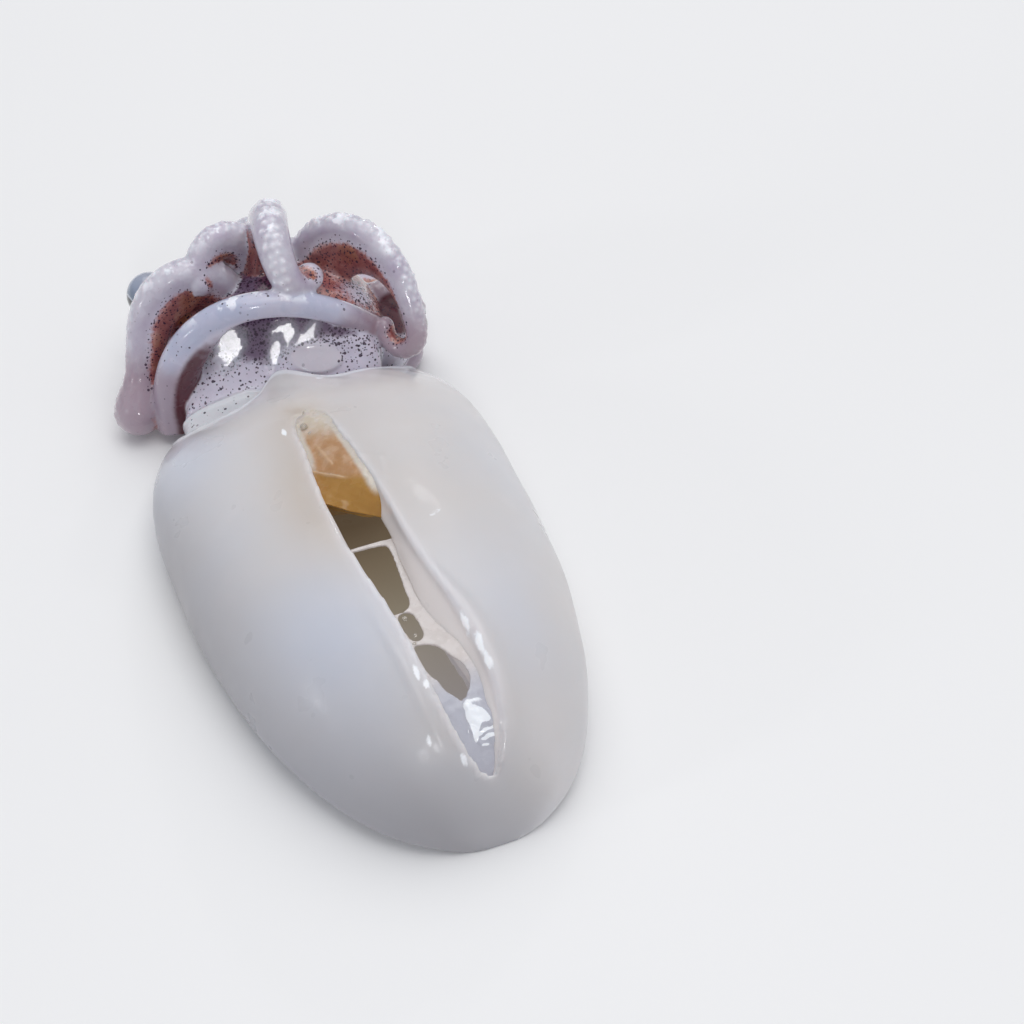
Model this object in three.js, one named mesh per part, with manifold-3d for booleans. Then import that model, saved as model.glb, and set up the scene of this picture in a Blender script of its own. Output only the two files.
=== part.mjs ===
// Raw cuttlefish, skinned and boned: a hollow white mantle with a slit along its
// back, and the speckled head in front of it with the arms curled back over it.
// Millimetres, +Z up, +Y from the mantle's tip towards the head.
// The origin is the middle of the mantle's underside, on the surface it lies on.
import * as THREE from 'three';
import { mergeVertices } from 'three/addons/utils/BufferGeometryUtils.js';
import Module from 'manifold-3d';

const wasm = await Module();
wasm.setup();

// Mantle
const TIP_Y = -56.7;
const RIM_Y = 59;
const MANTLE_WIDTH = 70.8;
const MANTLE_HEIGHT = 32.9;
const WIDEST_AT = 0.745;
const HIGHEST_AT = 0.33;
const RIM_WIDTH = 0.785;
const RIM_HEIGHT = 0.573;
const WIDTH_FULLNESS = 2.46;
const SIDE_LINE = 0.29;
const BELLY_FLATNESS = 0.45;
const SHEAR = 0.038;
const SWAY = 2.1;
const WALL = 6;
const RIM_WALL = 2.2;
const TIP_WALL = 9;

// Slit along the back
const SLIT_FRONT = 34;
const SLIT_REAR = -52.5;
const SLIT_HALF = 4.9;
const SLIT_FLOOR = 11;
const SLIT_REAR_FLOOR = 19.5;
const SLIT_INNER_SHARE = 0.62;

// Head
const HEAD_YAW = -22;
const HEAD_ORIGIN_Y = 59;
const GAP = 0.35;
const EYE_RADIUS = 5;
const EYES = { left: [-30.6, 25.5, 17.3], right: [23.5, 23, 11] };

// Arms: root on the crown, lift and compass heading of the curl in degrees,
// length, degrees turned, where along the arm the turning starts and ends,
// degrees coiled at the end and where that starts, sideways drift, lean of the
// curl's plane, root and tip radius, skin web on the inner side, swollen end.
const ARMS = [
  { root: [-5.1, 24.8, 23.6], lift: 110, heading: 263, length: 46, turn: 212,
    bend: [-0.05, 1.05], coil: [152, 0.74], drift: -35, lean: 0, radius: [4.8, 2.9], web: 4 },
  { root: [-18, 18.7, 7.5], lift: 119, heading: 188, length: 69, turn: 200,
    bend: [0.066, 0.725], coil: [0, 1], drift: -31.8, lean: 0, radius: [3.7, 3], web: 8, knob: 2.2 },
  { root: [-9.7, 24.9, 22], lift: 99, heading: 184, length: 31.5, turn: 219,
    bend: [0.13, 1.04], coil: [0, 1], drift: -49, lean: 0, radius: [3.9, 2.6], web: 3.4 },
  { root: [1.3, 25.3, 20.4], lift: 116, heading: -33, length: 63.5, turn: 179,
    bend: [-0.2, 0.76], coil: [240, 0.76], drift: 3.6, lean: -17.7, radius: [3.9, 1.9], web: 8 },
  { root: [0.6, 23.7, 18], lift: 93, heading: 104, length: 34, turn: 172,
    bend: [0, 0.94], coil: [16, 0.8], drift: -66, lean: 0, radius: [4, 2.4], web: 4 },
  { root: [9.5, 20, 9], lift: 60, heading: 30, length: 33, turn: 180,
    bend: [0.1, 1], coil: [120, 0.7], drift: 24, lean: 0, radius: [4, 2.4], web: 3 },
  { root: [-7, 25, 6], lift: 15, heading: 96, length: 46, turn: 200,
    bend: [0.05, 1], coil: [120, 0.7], drift: -3, lean: 88, radius: [4.2, 2.4], web: 3 },
  { root: [7, 25, 6], lift: 15, heading: 84, length: 46, turn: 200,
    bend: [0.05, 1], coil: [120, 0.7], drift: 3, lean: -88, radius: [4.2, 2.4], web: 3 },
];
const SUCKER_RISE = 0.5;

// The two long smooth tentacles
const TENTACLES = [
  { root: [-24.2, 0.2, 2], lift: 99, heading: -6, length: 71, turn: 153,
    bend: [-0.09, 1.03], coil: [0, 0.55], drift: -29, lean: 0, radius: [3.6, 2.5], web: 2.5 },
  { root: [13, 17, 3.2], lift: 5, heading: 10, length: 26, turn: 150,
    bend: [0.1, 1], coil: [60, 0.7], drift: 0, lean: 90, radius: [3, 2.4], web: 0, knob: 0.8 },
];

const rad = THREE.MathUtils.degToRad;
const clamp = THREE.MathUtils.clamp;
const smooth = THREE.MathUtils.smoothstep;
const lerp = THREE.MathUtils.lerp;

// A closed skin: a sphere's grid whose points are placed by at(angle, t),
// with t from one pole (0) to the other (1).
function skin(around, along, at) {
  const sphere = new THREE.SphereGeometry(1, around, along);
  const position = sphere.attributes.position;
  const uv = sphere.attributes.uv;
  for (let i = 0; i < position.count; i += 1) {
    const row = Math.round((1 - uv.getY(i)) * along);
    const column = Math.round(uv.getX(i) * around) % around;
    const ends = row === 0 || row === along;
    const angle = ends ? 0 : (column / around) * 2 * Math.PI;
    const point = at(angle, row / along, row);
    position.setXYZ(i, point.x, point.y, point.z);
  }
  sphere.deleteAttribute('uv');
  sphere.deleteAttribute('normal');
  return mergeVertices(sphere, 1e-5);
}

// A solid for joining and cutting, with its faces turned outward.
function solid(geometry) {
  const source = geometry.index ? geometry : mergeVertices(geometry, 1e-5);
  const points = new Float32Array(source.attributes.position.array);
  const index = new Uint32Array(source.index.array);
  let volume = 0;
  const a = new THREE.Vector3();
  const b = new THREE.Vector3();
  const c = new THREE.Vector3();
  for (let i = 0; i < index.length; i += 3) {
    a.fromArray(points, index[i] * 3);
    b.fromArray(points, index[i + 1] * 3);
    c.fromArray(points, index[i + 2] * 3);
    volume += a.dot(b.cross(c));
  }
  if (volume < 0) {
    for (let i = 0; i < index.length; i += 3) {
      const swap = index[i + 1];
      index[i + 1] = index[i + 2];
      index[i + 2] = swap;
    }
  }
  const mesh = new wasm.Mesh({ numProp: 3, vertProperties: points, triVerts: index });
  return new wasm.Manifold(mesh);
}

function geometryOf(manifold) {
  const mesh = manifold.getMesh();
  const geometry = new THREE.BufferGeometry();
  const points = new THREE.BufferAttribute(new Float32Array(mesh.vertProperties), 3);
  geometry.setAttribute('position', points);
  geometry.setIndex(new THREE.BufferAttribute(new Uint32Array(mesh.triVerts), 1));
  geometry.computeVertexNormals();
  return geometry;
}

function named(name, manifold, color, roughness) {
  const material = new THREE.MeshStandardMaterial({ color, roughness, metalness: 0 });
  const mesh = new THREE.Mesh(geometryOf(manifold), material);
  mesh.name = name;
  return mesh;
}

// Mantle: 0 at the tip, 1 at the rim.
function swell(v, peak, rim, power) {
  if (v < peak) {
    return (1 - ((peak - v) / peak) ** power) ** (1 / power);
  }
  return 1 - (1 - rim) * ((v - peak) / (1 - peak)) ** 2.2;
}

// How far the rim is drawn back or forward, by angle: lobes on the dorsal side.
function rimWave(angle) {
  const bump = (degrees, width) => {
    const turn = THREE.MathUtils.euclideanModulo(angle - rad(degrees) + Math.PI, 2 * Math.PI);
    return Math.exp(-(((turn - Math.PI) / rad(width)) ** 2));
  };
  const back = 4.2 * smooth(Math.abs(Math.sin(angle)), 0, 0.8);
  const left = 1.8 * smooth(-Math.cos(angle), 0, 0.5);
  return -1 - back - left + 4.6 * bump(95, 10) - 1.2 * bump(72, 12);
}

function mantlePoint(angle, v, inset, start) {
  const width = MANTLE_WIDTH / 2 - inset;
  const half = width * swell(v, WIDEST_AT, RIM_WIDTH, WIDTH_FULLNESS);
  const rise = swell(v, HIGHEST_AT, RIM_HEIGHT, 2);
  const top = (MANTLE_HEIGHT - inset * 0.5) * rise - inset * 0.5;
  const floor = inset * 0.85;
  const line = Math.min(SIDE_LINE * MANTLE_HEIGHT * (0.35 + 0.65 * rise), top * 0.48);
  const side = Math.max(line, floor + 0.3);
  const across = Math.cos(angle);
  const up = Math.sin(angle);
  const x = half * Math.sign(across) * Math.abs(across) ** 0.95;
  const z = up > 0
    ? side + (Math.max(top, side + 0.2) - side) * up ** 0.9
    : side - (side - floor) * Math.abs(up) ** BELLY_FLATNESS;
  const y = lerp(TIP_Y + start, RIM_Y, v) + SHEAR * x * v + rimWave(angle) * v ** 6;
  const sway = SWAY * ((v - 0.5) ** 2 * 4 - 0.33);
  return new THREE.Vector3(x + sway, y, Math.max(z, 0));
}

function mantleShell() {
  const outer = 23;
  const lip = 3;
  const inner = 13;
  const rows = outer + lip + inner;
  return skin(42, rows, (angle, t, row) => {
    if (row <= outer) {
      const s = row / outer;
      const v = s * s * (1.6 - 0.6 * s * s);
      const point = mantlePoint(angle, v, 0, 0);
      point.z = Math.max(point.z - 0.35, 0);
      return point;
    }
    const within = clamp((row - outer - lip) / inner, 0, 1);
    const v = (1 - within) ** 1.3;
    const wall = lerp(WALL, RIM_WALL, smooth(v, 0.78, 1));
    const inside = mantlePoint(angle, v, wall, TIP_WALL);
    if (row >= outer + lip) {
      return inside;
    }
    const share = (row - outer) / lip;
    const outside = mantlePoint(angle, 1, 0, 0);
    outside.z = Math.max(outside.z - 0.35, 0);
    outside.lerp(mantlePoint(angle, 1, RIM_WALL, TIP_WALL), share);
    outside.y += 1.3 * Math.sin(Math.PI * share);
    return outside;
  });
}

function slitMiddle(y) {
  return -2.9 - 2 * smooth(y, 8, 32) + 5 * smooth(-y, 18, 52);
}

function slitHalf(y) {
  const s = clamp((SLIT_FRONT - y) / (SLIT_FRONT - SLIT_REAR), 0, 1);
  const power = s < 0.5 ? 3 : 6;
  return SLIT_HALF * Math.max(1 - Math.abs(2 * s - 1) ** power, 0) ** 0.75;
}

// How far the slit's right wall reaches inward at its foot, as a share of the
// half width: most in the rear half.
function slitRightShare(y) {
  return lerp(0.74, 0.2, smooth(-y, 2, 24)) + 0.28 * Math.exp(-(((y + 38) / 4.5) ** 2));
}

// The slit's cutter: its outline drawn flat, raised, and narrowed downward.
function slitCutter() {
  const steps = 26;
  const outline = [];
  for (let i = 0; i <= steps; i += 1) {
    const y = lerp(SLIT_FRONT, SLIT_REAR, (1 - Math.cos((Math.PI * i) / steps)) / 2);
    outline.push(new THREE.Vector2(slitMiddle(y) - slitHalf(y), y));
  }
  for (let i = steps - 1; i > 0; i -= 1) {
    const y = lerp(SLIT_FRONT, SLIT_REAR, (1 - Math.cos((Math.PI * i) / steps)) / 2);
    outline.push(new THREE.Vector2(slitMiddle(y) + slitHalf(y), y));
  }
  const depth = 32;
  const geometry = new THREE.ExtrudeGeometry(new THREE.Shape(outline), {
    depth,
    steps: 8,
    bevelEnabled: false,
  });
  const position = geometry.attributes.position;
  for (let i = 0; i < position.count; i += 1) {
    const y = position.getY(i);
    const floor = lerp(SLIT_FLOOR, SLIT_REAR_FLOOR, smooth(-y, 39, 50));
    const z = lerp(floor, SLIT_FLOOR + depth, position.getZ(i) / depth);
    const across = position.getX(i) - slitMiddle(y);
    const left = lerp(SLIT_INNER_SHARE, 1, smooth(z, 20, 33));
    const right = lerp(slitRightShare(y), 1.16, smooth(z, 25.5, 33));
    position.setXYZ(i, slitMiddle(y) + across * (across < 0 ? left : right), y, z);
  }
  geometry.deleteAttribute('uv');
  geometry.deleteAttribute('normal');
  return mergeVertices(geometry, 1e-5);
}

// A round strand between two points.
function strand(from, to, radius) {
  const start = new THREE.Vector3(...from);
  const end = new THREE.Vector3(...to);
  const axis = end.clone().sub(start);
  const geometry = new THREE.CapsuleGeometry(radius, axis.length(), 3, 8);
  const turn = new THREE.Quaternion();
  turn.setFromUnitVectors(new THREE.Vector3(0, 1, 0), axis.clone().normalize());
  geometry.applyQuaternion(turn);
  const middle = start.add(end).multiplyScalar(0.5);
  geometry.translate(middle.x, middle.y, middle.z);
  geometry.deleteAttribute('uv');
  geometry.deleteAttribute('normal');
  return mergeVertices(geometry, 1e-4);
}

function ellipsoid(center, size, around, along) {
  return skin(around, along, (angle, t) => {
    const polar = Math.PI * t;
    return new THREE.Vector3(
      center[0] + size[0] * Math.sin(polar) * Math.cos(angle),
      center[1] + size[1] * Math.sin(polar) * Math.sin(angle),
      center[2] + size[2] * Math.cos(polar),
    );
  });
}

function mantle() {
  let body = solid(mantleShell());
  body = body.subtract(solid(slitCutter()));
  const bridges = [
    strand([-8, -5.5, 27.5], [4, -3, 27.5], 0.45),
    strand([-7, -23.5, 27], [4, -22, 27], 0.6),
    strand([-6.5, -30.5, 26], [6, -32, 26], 1),
  ];
  for (const bridge of bridges) {
    body = body.add(solid(bridge));
  }
  body = body.add(solid(ellipsoid([2.8, -45, 19.8], [4, 6.5, 1.3], 14, 8)));
  return body;
}

// Amber tissue in the front half of the cavity, seen through the slit.
const TISSUE = [
  { y: 13.6, x: -4, half: 0, low: 20.5, high: 20.5, turn: -42 },
  { y: 14.6, x: -4, half: 8, low: 19.2, high: 21.8, turn: -42 },
  { y: 18, x: -4, half: 11, low: 16, high: 23.6, turn: -30 },
  { y: 24, x: -3, half: 11, low: 9, high: 22.6, turn: -12 },
  { y: 31, x: -2, half: 9.5, low: 6.6, high: 19.5, turn: 0 },
  { y: 37, x: -2, half: 6, low: 7, high: 16, turn: 0 },
  { y: 39.5, x: -2, half: 0, low: 12, high: 12, turn: 0 },
];

// Neck, head and crown, in the head's own frame: how far along, half width,
// underside and top, and the turn of each cross-section in degrees.
const HEAD = [
  { x: 5, y: -16.4, half: 0, low: 10, high: 10, turn: 22 },
  { x: 4.3, y: -14.6, half: 18, low: 5.6, high: 13.4, turn: 22 },
  { x: 2.6, y: -9.6, half: 21, low: 4.4, high: 14.6, turn: 17 },
  { x: 0.4, y: -3.2, half: 21.2, low: 2.6, high: 14.6, turn: 11 },
  { x: 0, y: 3.2, half: 20, low: 0.8, high: 20, turn: 5 },
  { x: 0, y: 6.8, half: 19.4, low: 0, high: 26, turn: 1 },
  { x: 0, y: 11, half: 19.2, low: 0, high: 28, turn: 0 },
  { x: 0, y: 17, half: 19.8, low: 0, high: 29, turn: 0 },
  { x: 0, y: 24, half: 18, low: 0.2, high: 28, turn: 0 },
  { x: 0, y: 29.5, half: 13.5, low: 2, high: 25, turn: 0 },
  { x: 0, y: 33, half: 0, low: 13, high: 13, turn: 0 },
];

// A soft body through cross-sections, smooth from one to the next.
function loft(sections, around, along) {
  const middle = sections.map((s) => new THREE.Vector3(s.x, s.y, rad(s.turn ?? 0)));
  const size = sections.map((s) => new THREE.Vector3(s.half, s.low, s.high));
  const path = new THREE.CatmullRomCurve3(middle, false, 'catmullrom', 0.5);
  const shape = new THREE.CatmullRomCurve3(size, false, 'catmullrom', 0.35);
  return skin(around, along, (angle, t) => {
    const place = path.getPoint(t);
    const section = shape.getPoint(t);
    const half = Math.max(section.x, 0) * Math.cos(angle);
    const center = (section.y + section.z) / 2;
    const height = (section.z - section.y) / 2;
    const up = Math.sign(Math.sin(angle)) * Math.abs(Math.sin(angle)) ** 0.85;
    return new THREE.Vector3(
      place.x + half * Math.cos(place.z),
      place.y + half * Math.sin(place.z),
      Math.max(center + height * up, 0),
    );
  });
}

// An arm or tentacle. It sets off at its lift, turns in the plane of its
// heading and drifts sideways. Its convex side carries two rows of suckers,
// as bumps left and right in turn.
function limb(arm, around, along, suckers) {
  const forward = new THREE.Vector3(Math.cos(rad(arm.heading)), Math.sin(rad(arm.heading)), 0);
  const level = new THREE.Vector3().crossVectors(forward, new THREE.Vector3(0, 0, 1));
  const up = new THREE.Vector3(0, 0, Math.cos(rad(arm.lean)));
  up.addScaledVector(level, Math.sin(rad(arm.lean)));
  const side = new THREE.Vector3().crossVectors(forward, up);
  const lift = rad(arm.lift);
  const first = forward.clone().multiplyScalar(Math.cos(lift));
  first.addScaledVector(up, Math.sin(lift));
  const second = forward.clone().multiplyScalar(Math.sin(lift));
  second.addScaledVector(up, -Math.cos(lift));
  const frames = [];
  const point = new THREE.Vector3(...arm.root);
  const fine = 4;
  for (let i = 0; i <= along * fine; i += 1) {
    const t = i / (along * fine);
    const s = clamp((t - arm.bend[0]) / (arm.bend[1] - arm.bend[0]), 0, 1);
    const coil = arm.coil[0] * Math.max((t - arm.coil[1]) / (1.001 - arm.coil[1]), 0);
    const turned = rad(arm.turn * s * s * (3 - 2 * s) + coil);
    const swing = rad(arm.drift) * t;
    const flat = first.clone().multiplyScalar(Math.cos(turned));
    flat.addScaledVector(second, Math.sin(turned));
    const inward = first.clone().multiplyScalar(-Math.sin(turned));
    inward.addScaledVector(second, Math.cos(turned));
    const ahead = flat.clone().multiplyScalar(Math.cos(swing));
    ahead.addScaledVector(side, Math.sin(swing));
    const beside = flat.clone().multiplyScalar(-Math.sin(swing));
    beside.addScaledVector(side, Math.cos(swing));
    frames.push({ point: point.clone(), inward, beside, ahead });
    point.addScaledVector(ahead, arm.length / (along * fine));
  }
  return skin(around, along, (angle, t, row) => {
    const frame = frames[row * fine];
    const taper = lerp(arm.radius[0], arm.radius[1], t) + (arm.knob ?? 0) * smooth(t, 0.8, 0.93);
    const end = Math.sqrt(clamp(1 - ((t * arm.length - arm.length + taper) / taper) ** 2, 0, 1));
    const round = t * arm.length > arm.length - taper ? end : 1;
    let radius = taper * round;
    if (row === 0) {
      radius = 0;
    }
    const spread = Math.cos(angle - (row % 2 ? 0.62 : -0.62));
    if (suckers && spread > 0.95 && t > 0.25) {
      radius += SUCKER_RISE * round;
    }
    const fade = 1 - smooth(t, 0.3, arm.coil[1] * 0.95);
    const web = arm.web * round * fade * Math.max(-Math.cos(angle), 0);
    const place = frame.point.clone();
    place.addScaledVector(frame.inward, -radius * Math.cos(angle) * 0.94 + web);
    place.addScaledVector(frame.beside, radius * Math.sin(angle));
    place.z = Math.max(place.z, 0);
    return place;
  });
}

function headAndArms() {
  let body = solid(loft(HEAD, 28, 22));
  body = body.add(solid(ellipsoid([-19.5, 21, 14.5], [12, 10.5, 10], 18, 11)));
  body = body.add(solid(ellipsoid([16, 20, 10], [9.5, 9.5, 9.5], 14, 9)));
  for (const arm of ARMS) {
    body = body.add(solid(limb(arm, 9, 36, true)));
  }
  for (const tentacle of TENTACLES) {
    body = body.add(solid(limb(tentacle, 9, 24, false)));
  }
  for (const center of Object.values(EYES)) {
    const size = EYE_RADIUS + GAP;
    body = body.subtract(solid(ellipsoid(center, [size, size, size], 14, 9)));
  }
  return body;
}

function eye(center) {
  return solid(ellipsoid(center, [EYE_RADIUS, EYE_RADIUS, EYE_RADIUS], 14, 9));
}

const cuttlefish = new THREE.Group();
cuttlefish.add(named('mantle', mantle(), 0xd2cfd0, 0.3));
cuttlefish.add(named('inner_tissue', solid(loft(TISSUE, 16, 11)), 0x9a7440, 0.35));

const head = new THREE.Group();
head.position.set(0, HEAD_ORIGIN_Y, 0);
head.rotation.z = rad(HEAD_YAW);
head.add(named('head_and_arms', headAndArms(), 0xa39ab0, 0.35));
head.add(named('eye_left', eye(EYES.left), 0x8c96a6, 0.15));
head.add(named('eye_right', eye(EYES.right), 0x8c96a6, 0.15));
cuttlefish.add(head);

export default cuttlefish;
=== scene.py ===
"""Looks of the raw cuttlefish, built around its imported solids.

Shapes are worked out in millimetres with the part's own named sizes and scaled to metres once.
The mantle, the tissue in the slit, the head with its arms and the two eyes each have a piece that
replaces the solid in the same place. The film, the bubbles and the clear membrane in the slit are
pieces of their own beside them.
"""
import math
import bmesh
import bpy
import numpy as np
from mathutils import Matrix, Vector
from mathutils.bvhtree import BVHTree
from mathutils.kdtree import KDTree


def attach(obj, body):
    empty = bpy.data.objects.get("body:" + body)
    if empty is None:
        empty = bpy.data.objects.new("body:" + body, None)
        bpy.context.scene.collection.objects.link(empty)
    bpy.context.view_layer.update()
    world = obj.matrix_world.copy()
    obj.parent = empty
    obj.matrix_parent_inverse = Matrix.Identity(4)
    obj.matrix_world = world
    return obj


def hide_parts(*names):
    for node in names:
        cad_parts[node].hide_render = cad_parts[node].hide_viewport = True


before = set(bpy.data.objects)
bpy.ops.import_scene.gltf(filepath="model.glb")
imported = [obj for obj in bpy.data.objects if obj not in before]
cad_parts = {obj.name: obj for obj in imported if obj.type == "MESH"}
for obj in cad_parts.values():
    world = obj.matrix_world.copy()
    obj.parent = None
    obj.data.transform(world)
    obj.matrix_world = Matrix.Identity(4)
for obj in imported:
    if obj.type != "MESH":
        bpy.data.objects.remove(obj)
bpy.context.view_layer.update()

MM = 0.001
RNG = np.random.default_rng(7)

# Mantle, in millimetres
TIP_Y = -56.7
RIM_Y = 59
MANTLE_WIDTH = 70.8
MANTLE_HEIGHT = 32.9
WIDEST_AT = 0.745
HIGHEST_AT = 0.33
RIM_WIDTH = 0.785
RIM_HEIGHT = 0.573
WIDTH_FULLNESS = 2.46
SIDE_LINE = 0.29
BELLY_FLATNESS = 0.45
SHEAR = 0.038
SWAY = 2.1
WALL = 6
RIM_WALL = 2.2
TIP_WALL = 9
MANTLE_LAYERS = (23, 3, 13)
MANTLE_AROUND = 210
MANTLE_FINENESS = 6
OUTER_INSET = 0.35
RIM_LEVEL = 6
RIM_OVAL = (28, 13)

# Slit along the back. Each side of it, left and right, narrows over a depth of its own
SLIT_FRONT = 36.5
SLIT_REAR = -52.3
SLIT_HALF = 5
SLIT_MIDDLE = -3
SLIT_BENDS = (0.6, 4.4)
SLIT_FLOOR = 11
SLIT_REAR_DEPTH = 4.4
SLIT_INNER_SHARE = 0.62
SLIT_NARROWING = (12, 6.5)

# Head
HEAD_YAW = math.radians(-22)
HEAD_ORIGIN_Y = 59
EYE_RADIUS = 5
SOCKET_GAP = 0.35
EYES = {"left": (-30.6, 25.5, 17.3), "right": (23.5, 23, 11)}
# Swellings of the head round the eyes: middle and half sizes
EYE_SWELLINGS = (((-19.5, 21, 14.5), (12, 10.5, 10)), ((16, 20, 10), (9.5, 9.5, 9.5)))

# Neck, head and crown in the head's own frame:
# x, y, half width, underside, top, turn of the cross-section in degrees
HEAD = (
    (5, -16.4, 0, 10, 10, 22),
    (4.3, -14.6, 18, 5.6, 13.4, 22),
    (2.6, -9.6, 21, 4.4, 14.6, 17),
    (0.4, -3.2, 21.2, 2.6, 14.6, 11),
    (0, 3.2, 20, 0.8, 20, 5),
    (0, 6.8, 19.4, 0, 26, 1),
    (0, 11, 19.2, 0, 28, 0),
    (0, 17, 19.8, 0, 29, 0),
    (0, 24, 18, 0.2, 28, 0),
    (0, 29.5, 13.5, 2, 25, 0),
    (0, 33, 0, 13, 13, 0),
)

# Amber tissue in the slit, in the mantle's frame, with the same columns
TISSUE = (
    (-4, 13.6, 0, 20.5, 20.5, -42),
    (-4, 14.6, 8, 19.2, 21.8, -42),
    (-4, 18, 11, 16, 23.6, -30),
    (-3, 24, 11, 9, 22.6, -12),
    (-2, 31, 9.5, 6.6, 19.5, 0),
    (-2, 37, 6, 7, 16, 0),
    (-2, 39.5, 0, 12, 12, 0),
)

# Arms: root, lift, heading, length, turn, bend, coil, drift, lean, radii, web, knob
ARMS = (
    ((-5.1, 24.8, 23.6), 110, 263, 46, 212, (-0.05, 1.05), (152, 0.74), -35, 0, (4.8, 2.9), 4, 0),
    ((-18, 18.7, 7.5), 119, 188, 69, 200, (0.066, 0.725), (0, 1), -31.8, 0, (3.7, 3), 8, 2.2),
    ((-9.7, 24.9, 22), 99, 184, 31.5, 219, (0.13, 1.04), (0, 1), -49, 0, (3.9, 2.6), 3.4, 0),
    ((1.3, 25.3, 20.4), 116, -33, 63.5, 179, (-0.2, 0.76), (240, 0.76), 3.6, -17.7, (3.9, 1.9),
     8, 0),
    ((0.6, 23.7, 18), 93, 104, 34, 172, (0, 0.94), (16, 0.8), -66, 0, (4, 2.4), 4, 0),
    ((9.5, 20, 9), 60, 30, 33, 180, (0.1, 1), (120, 0.7), 24, 0, (4, 2.4), 3, 0),
    ((-7, 25, 6), 15, 96, 46, 200, (0.05, 1), (120, 0.7), -3, 88, (4.2, 2.4), 3, 0),
    ((7, 25, 6), 15, 84, 46, 200, (0.05, 1), (120, 0.7), 3, -88, (4.2, 2.4), 3, 0),
)
TENTACLES = (
    ((-24.2, 0.2, 2), 99, -6, 71, 153, (-0.09, 1.03), (0, 0.55), -29, 0, (3.6, 2.5), 2.5, 0),
    ((13, 17, 3.2), 5, 10, 26, 150, (0.1, 1), (60, 0.7), 0, 90, (3, 2.4), 0, 0.8),
)
# Suckers: how far along each arm they start, and their radius as a share of the arm's
SUCKERS = ((0.3, 0.27), (0.35, 0.2), (0.45, 0.24), (0.08, 0.3), (0.3, 0.25), (0.3, 0.24),
           (0.3, 0.24), (0.3, 0.24))
# Gaps from sucker to sucker, across and along the arm, in their own radii, and where their
# middles lie on the arm's radius
SUCKER_SPACING = (1.9, 1.65)
SUCKER_DEPTH = 0.85
LIMB_COLUMNS = ("root", "lift", "heading", "length", "turn", "bend", "coil", "drift", "lean",
                "radius", "web", "knob")

# Edge of the grid on which overlapping shapes are fused, and the rounds of softening after it
MANTLE_FUSING = (0.65, 3)
WEB_FUSING = (0.2, 4)
HEAD_FUSING = (0.445, 3)


# Mesh helpers

def smooth(x, low, high):
    t = np.clip((x - low) / (high - low), 0, 1)
    return t * t * (3 - 2 * t)


def bell(x, middle, width):
    return np.exp(-(((x - middle) / width) ** 2))


def lerp(a, b, t):
    return a + (b - a) * t


def points(mesh):
    co = np.zeros(len(mesh.vertices) * 3)
    mesh.vertices.foreach_get("co", co)
    return co.reshape(-1, 3)


def move_points(mesh, co):
    mesh.vertices.foreach_set("co", np.asarray(co, float).ravel())
    mesh.update()


def normals(mesh):
    n = np.zeros(len(mesh.vertices) * 3)
    mesh.vertices.foreach_get("normal", n)
    return n.reshape(-1, 3)


def as_mesh(bm, name):
    """The bmesh as a mesh; the bmesh is let go."""
    mesh = bpy.data.meshes.new(name)
    bm.to_mesh(mesh)
    bm.free()
    return mesh


def placed(name, data):
    """An object that holds the data, in the scene."""
    thing = bpy.data.objects.new(name, data)
    bpy.context.scene.collection.objects.link(thing)
    return thing


def face_outward(mesh):
    bm = bmesh.new()
    bm.from_mesh(mesh)
    bmesh.ops.remove_doubles(bm, verts=bm.verts, dist=1e-5)
    bmesh.ops.recalc_face_normals(bm, faces=bm.faces)
    bm.to_mesh(mesh)
    bm.free()
    return mesh


def skin(around, along, at):
    """A closed skin: a sphere whose points are placed by at(angle, t), t from pole to pole."""
    bm = bmesh.new()
    bmesh.ops.create_uvsphere(bm, u_segments=around, v_segments=along, radius=1)
    mesh = as_mesh(bm, "skin")
    co = points(mesh)
    row = np.round(np.arccos(np.clip(co[:, 2], -1, 1)) / math.pi * along).astype(int)
    angle = np.arctan2(co[:, 1], co[:, 0])
    angle[(row == 0) | (row == along)] = 0
    move_points(mesh, at(angle, row / along))
    return face_outward(mesh)


def ellipsoid(center, size, around=48, along=32):
    def at(angle, t):
        polar = math.pi * t
        return np.stack([
            center[0] + size[0] * np.sin(polar) * np.cos(angle),
            center[1] + size[1] * np.sin(polar) * np.sin(angle),
            center[2] + size[2] * np.cos(polar),
        ], 1)
    return skin(around, along, at)


def smooth_path(rows, tension, t):
    """Points on a curve through the rows, as a Catmull-Rom spline of that tension."""
    rows = np.asarray(rows, float)
    count = len(rows)
    place = np.clip(t, 0, 1) * (count - 1)
    index = np.minimum(place.astype(int), count - 2)
    u = (place - index)[:, None]
    first = 2 * rows[0] - rows[1]
    last = 2 * rows[-1] - rows[-2]
    padded = np.vstack([first, rows, last])
    p0, p1, p2, p3 = (padded[index + k] for k in range(4))
    t0 = tension * (p2 - p0)
    t1 = tension * (p3 - p1)
    return (
        p1 + t0 * u + (-3 * p1 + 3 * p2 - 2 * t0 - t1) * u ** 2
        + (2 * p1 - 2 * p2 + t0 + t1) * u ** 3
    )


def loft(sections, around, along):
    """A soft body through cross-sections, smooth from one to the next."""
    table = np.asarray(sections, float)
    centre = np.column_stack([table[:, 0], table[:, 1], np.radians(table[:, 5])])

    def at(angle, t):
        place = smooth_path(centre, 0.5, t)
        size = smooth_path(table[:, 2:5], 0.35, t)
        half = np.maximum(size[:, 0], 0) * np.cos(angle)
        middle = (size[:, 1] + size[:, 2]) / 2
        height = (size[:, 2] - size[:, 1]) / 2
        up = np.sign(np.sin(angle)) * np.abs(np.sin(angle)) ** 0.85
        return np.stack([
            place[:, 0] + half * np.cos(place[:, 2]),
            place[:, 1] + half * np.sin(place[:, 2]),
            np.maximum(middle + height * up, 0),
        ], 1)

    return skin(around, along, at)


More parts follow.
